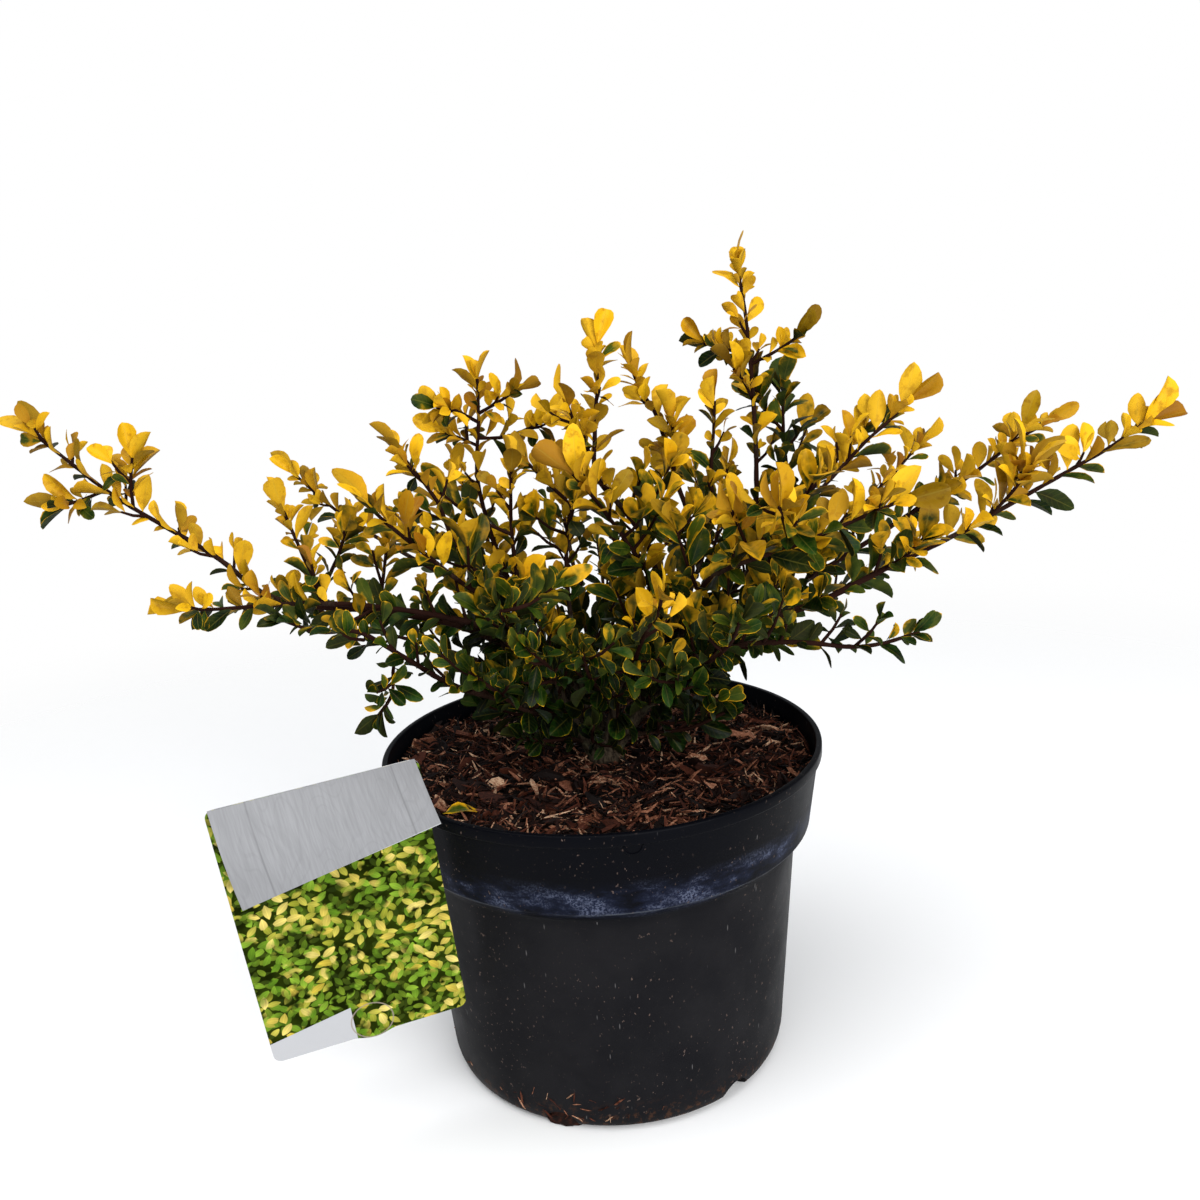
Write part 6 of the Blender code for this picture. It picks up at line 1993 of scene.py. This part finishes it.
def grown(name, lines, leaves, tree, values):
    item = shoot_object(name, lines, leaves)
    node_modifier(item, tree, values)
    apply_modifiers(item)
    for spare in ("leaf", "thick", "shape", "facing", "size"):
        if spare in item.data.attributes:
            item.data.attributes.remove(item.data.attributes[spare])
    if not leaves:
        item.data.shade_smooth()
    return item


def stock_line():
    """The stock from its hole to a knobbly head, where the branches leave."""
    heights = (-0.0675, -0.03, -0.006, 0.0, 0.0035, 0.0065, 0.0085, 0.0095)
    widths = (1.0, 1.0, 0.99, 0.97, 0.93, 0.82, 0.6, 0.3)
    points = [Vector((0.0006 * place, -0.0006 * place, MULCH_TOP + height))
              for place, height in enumerate(heights)]
    return Line("woody_frame", points, [STOCK_RADIUS * width for width in widths], [WOOD_AGE] * len(points))


def knobbly(lines, dice):
    """Stems swell a little where leaves once stood."""
    made = []
    for line in lines:
        radii = [radius * (1 + 0.07 * math.sin(number * 2.1 + dice.uniform(0, 1.2))) for number, radius in
                 enumerate(line.radii)]
        made.append(line._replace(radii=radii))
    return made


def make_plant(settings):
    growth = Growth(settings)
    leaf_tree = leaf_colour_group(settings)
    bark_tree = wood_group()
    golden = leaf_finish("golden_holly_leaf", leaf_tree, settings.gold, 0.45, 0.42)
    green = leaf_finish("green_holly_leaf", leaf_tree, settings.mid_green, 0.44, 0.26)
    young = stem_finish("young_holly_stem", bark_tree, 1500.0, 0.35)
    # The finish of old wood: grey-brown bark darkened further as painted shade.
    old = stem_finish("old_holly_wood", bark_tree, 800.0, 0.8)
    shapes = shape_collection("leaf shapes", [leaf_shape(number) for number in range(LEAF_SHAPES)])
    tree = shoot_tree()
    values = {"Leaf shapes": shapes, "Leaf size": settings.leaf_size}
    dice = random.Random("knobs")
    nodes = [name for name in frame["nodes"] if name.endswith(("_green", "_gold"))]
    for node in nodes + ["inner_leaves"]:
        gilded = node.endswith("_gold")
        lines = knobbly([line for line in growth.lines if line.node == node], dice)
        leaves = [leaf for leaf in growth.leaves if leaf.node == node]
        finishes = {"Leaf finish": golden if gilded else green, "Stem finish": young}
        piece = grown(node + "_shoot" if node in nodes else node, lines, leaves, tree,
                      {**values, **finishes, "Stem sides": settings.stem_sides})
        settle(piece, "golden_foliage" if gilded else "green_foliage", *([node] if node in nodes else []))
    lines = [line for line in growth.lines if line.node == "woody_frame"]
    wood = grown("woody_branches", knobbly(lines, dice) + [stock_line()], [], tree,
                 {**values, "Stem sides": settings.wood_sides, "Leaf finish": green, "Stem finish": old})
    settle(wood, "old_wood", "woody_frame")
    clear_shapes(shapes)
    print(growth.solid_leaves, "leaves of the solids,", len(growth.leaves), "leaves in all")


def lay_leaf():
    """The fallen leaf on the mulch, as a mesh of its own."""
    item = leaf_shape(4)
    item.name = "fallen_leaf"
    mesh = item.data
    length = FALLEN_LENGTH
    place = Matrix.Translation(FALLEN_AT) @ Euler(FALLEN_TURN).to_matrix().to_4x4()
    mesh.transform(place @ Matrix.Diagonal((length * BLADE_WIDTH_SHARE, length, length, 1)))
    for label, value in (("tone", FALLEN_TONE), ("bronze", FALLEN_BRONZE)):
        values = [value] * len(mesh.vertices)
        mesh.attributes.new(label, "FLOAT", "POINT").data.foreach_set("value", values)
    mesh.materials.append(bpy.data.materials["golden_holly_leaf"])
    return settle(item, "golden_foliage")


# Floor, lights and camera


FLOOR_RADIUS = 1.5
FLOOR_FADE = (0.35, 1.1)
LIGHTS = (("key_light", "key", 1.3, (-0.33, -0.36, 1.5)), ("fill_light", "fill", 1.2, (0.7, -1.3, 0.7)))
LIT_POINT = Vector((0, 0, 0.2))
CAMERA_AT = (0.0038, -0.5616, 0.3871)
CAMERA_TILT = math.radians(90 - 14.55)
CAMERA_ROLL = math.radians(-3.505)


def make_stage(settings):
    shape = bmesh.new()
    bmesh.ops.create_circle(shape, cap_ends=True, segments=96, radius=FLOOR_RADIUS,
                            matrix=Matrix.Translation((0, 0, -GAP)))
    floor = object_of("studio_floor", shape)
    graph = new_material("pale_floor", settings.floor, 0.9, 0.1)
    away = graph.vector("LENGTH", graph.vector("MULTIPLY", graph.object_place(), (1, 1, 0)))
    floor.data.materials.append(graph.close({"Alpha": graph.ramp(away, *FLOOR_FADE, 0.0, 1.0)}))
    bpy.context.scene.view_settings.view_transform = "Standard"
    world = bpy.data.worlds.new("soft_studio")
    bpy.context.scene.world = world
    world.use_nodes = True
    nodes = world.node_tree.nodes
    nodes.clear()
    graph = Graph(world.node_tree, nodes.new("ShaderNodeOutputWorld"), world)
    seen = graph.node("ShaderNodeBackground", {"Color": (1, 1, 1), "Strength": 1.0})
    light = graph.node("ShaderNodeBackground", {"Color": (0.93, 0.96, 1), "Strength": settings.sky})
    watched = graph.node("ShaderNodeLightPath")["Is Camera Ray"]
    graph.close({"Surface": graph.node("ShaderNodeMixShader", {0: watched, 1: light, 2: seen})})
    for name, power, size, spot in LIGHTS:
        lamp = bpy.data.lights.new(name, "AREA")
        lamp.energy = getattr(settings, power)
        lamp.size = size
        item = new_object(name, lamp)
        item.matrix_world = aimed(Vector(spot), LIT_POINT)
    camera = bpy.data.cameras.new("camera")
    camera.lens = settings.lens
    camera.sensor_width = 36
    camera.clip_start = 0.01
    camera.clip_end = 50
    item = new_object("camera", camera)
    item.matrix_world = (Matrix.Translation(CAMERA_AT) @ Matrix.Rotation(CAMERA_TILT, 4, "X")
                         @ Matrix.Rotation(CAMERA_ROLL, 4, "Z"))
    bpy.context.scene.camera = item


def aimed(spot, target):
    turn = (target - spot).to_track_quat("-Z", "Y").to_matrix().to_4x4()
    return Matrix.Translation(spot) @ turn


# Operators, panel and registration


class HOLLY_OT_pot(bpy.types.Operator):
    """Turn the pot, cut its drainage openings and give it its dusty plastic with a painted bluish sheen"""
    bl_idname = "holly.pot"
    bl_label = "Nursery pot"

    def execute(self, context):
        make_pot(context.scene.holly_pot)
        return {"FINISHED"}


class HOLLY_OT_filling(bpy.types.Operator):
    """Lay the bark mulch over the root ball"""
    bl_idname = "holly.filling"
    bl_label = "Root ball and mulch"

    def execute(self, context):
        ball = frame["nodes"]["root_ball"]
        ball.data.materials.clear()
        ball.data.materials.append(soil_finish("compost_ball", (0.008, 0.005, 0.003), (0.045, 0.026, 0.015)))
        make_mulch(context.scene.holly_mulch)
        return {"FINISHED"}


class HOLLY_OT_label(bpy.types.Operator):
    """Cut, fold and print the plant label"""
    bl_idname = "holly.label"
    bl_label = "Plant label"

    def execute(self, context):
        make_label(context.scene.holly_label)
        return {"FINISHED"}


class HOLLY_OT_plant(bpy.types.Operator):
    """Grow the woody framework, the leafy shoots and every leaf"""
    bl_idname = "holly.plant"
    bl_label = "Wood and leaves"

    def execute(self, context):
        make_plant(context.scene.holly_foliage)
        lay_leaf()
        return {"FINISHED"}


class HOLLY_OT_stage(bpy.types.Operator):
    """Set the floor, the lights and the camera"""
    bl_idname = "holly.stage"
    bl_label = "Floor, lights and camera"

    def execute(self, context):
        make_stage(context.scene.holly_studio)
        return {"FINISHED"}


class HOLLY_PT_panel(bpy.types.Panel):
    """Every step of the holly in the sidebar"""
    bl_idname = "HOLLY_PT_panel"
    bl_label = "Potted Japanese holly"
    bl_space_type = "VIEW_3D"
    bl_region_type = "UI"
    bl_category = "Holly"

    def draw(self, context):
        for name, kind, operator in SETTINGS:
            settings = getattr(context.scene, name)
            box = self.layout.box()
            box.operator(operator)
            for field in kind.__annotations__:
                box.prop(settings, field)


SETTINGS = (("holly_pot", HollyPotSettings, "holly.pot"),
            ("holly_mulch", HollyMulchSettings, "holly.filling"),
            ("holly_label", HollyLabelSettings, "holly.label"),
            ("holly_foliage", HollyFoliageSettings, "holly.plant"),
            ("holly_studio", HollyStudioSettings, "holly.stage"))
CLASSES = (HOLLY_OT_pot, HOLLY_OT_filling, HOLLY_OT_label, HOLLY_OT_plant, HOLLY_OT_stage, HOLLY_PT_panel)


def register():
    for name, kind, _ in SETTINGS:
        bpy.utils.register_class(kind)
        setattr(bpy.types.Scene, name, PointerProperty(type=kind))
    for kind in CLASSES:
        bpy.utils.register_class(kind)


def unregister():
    for kind in reversed(CLASSES):
        bpy.utils.unregister_class(kind)
    for name, kind, _ in SETTINGS:
        delattr(bpy.types.Scene, name)
        bpy.utils.unregister_class(kind)


def main():
    register()
    bpy.ops.holly.stage()
    bpy.ops.holly.pot()
    bpy.ops.holly.filling()
    bpy.ops.holly.label()
    bpy.ops.holly.plant()


if __name__ == "__main__":
    main()
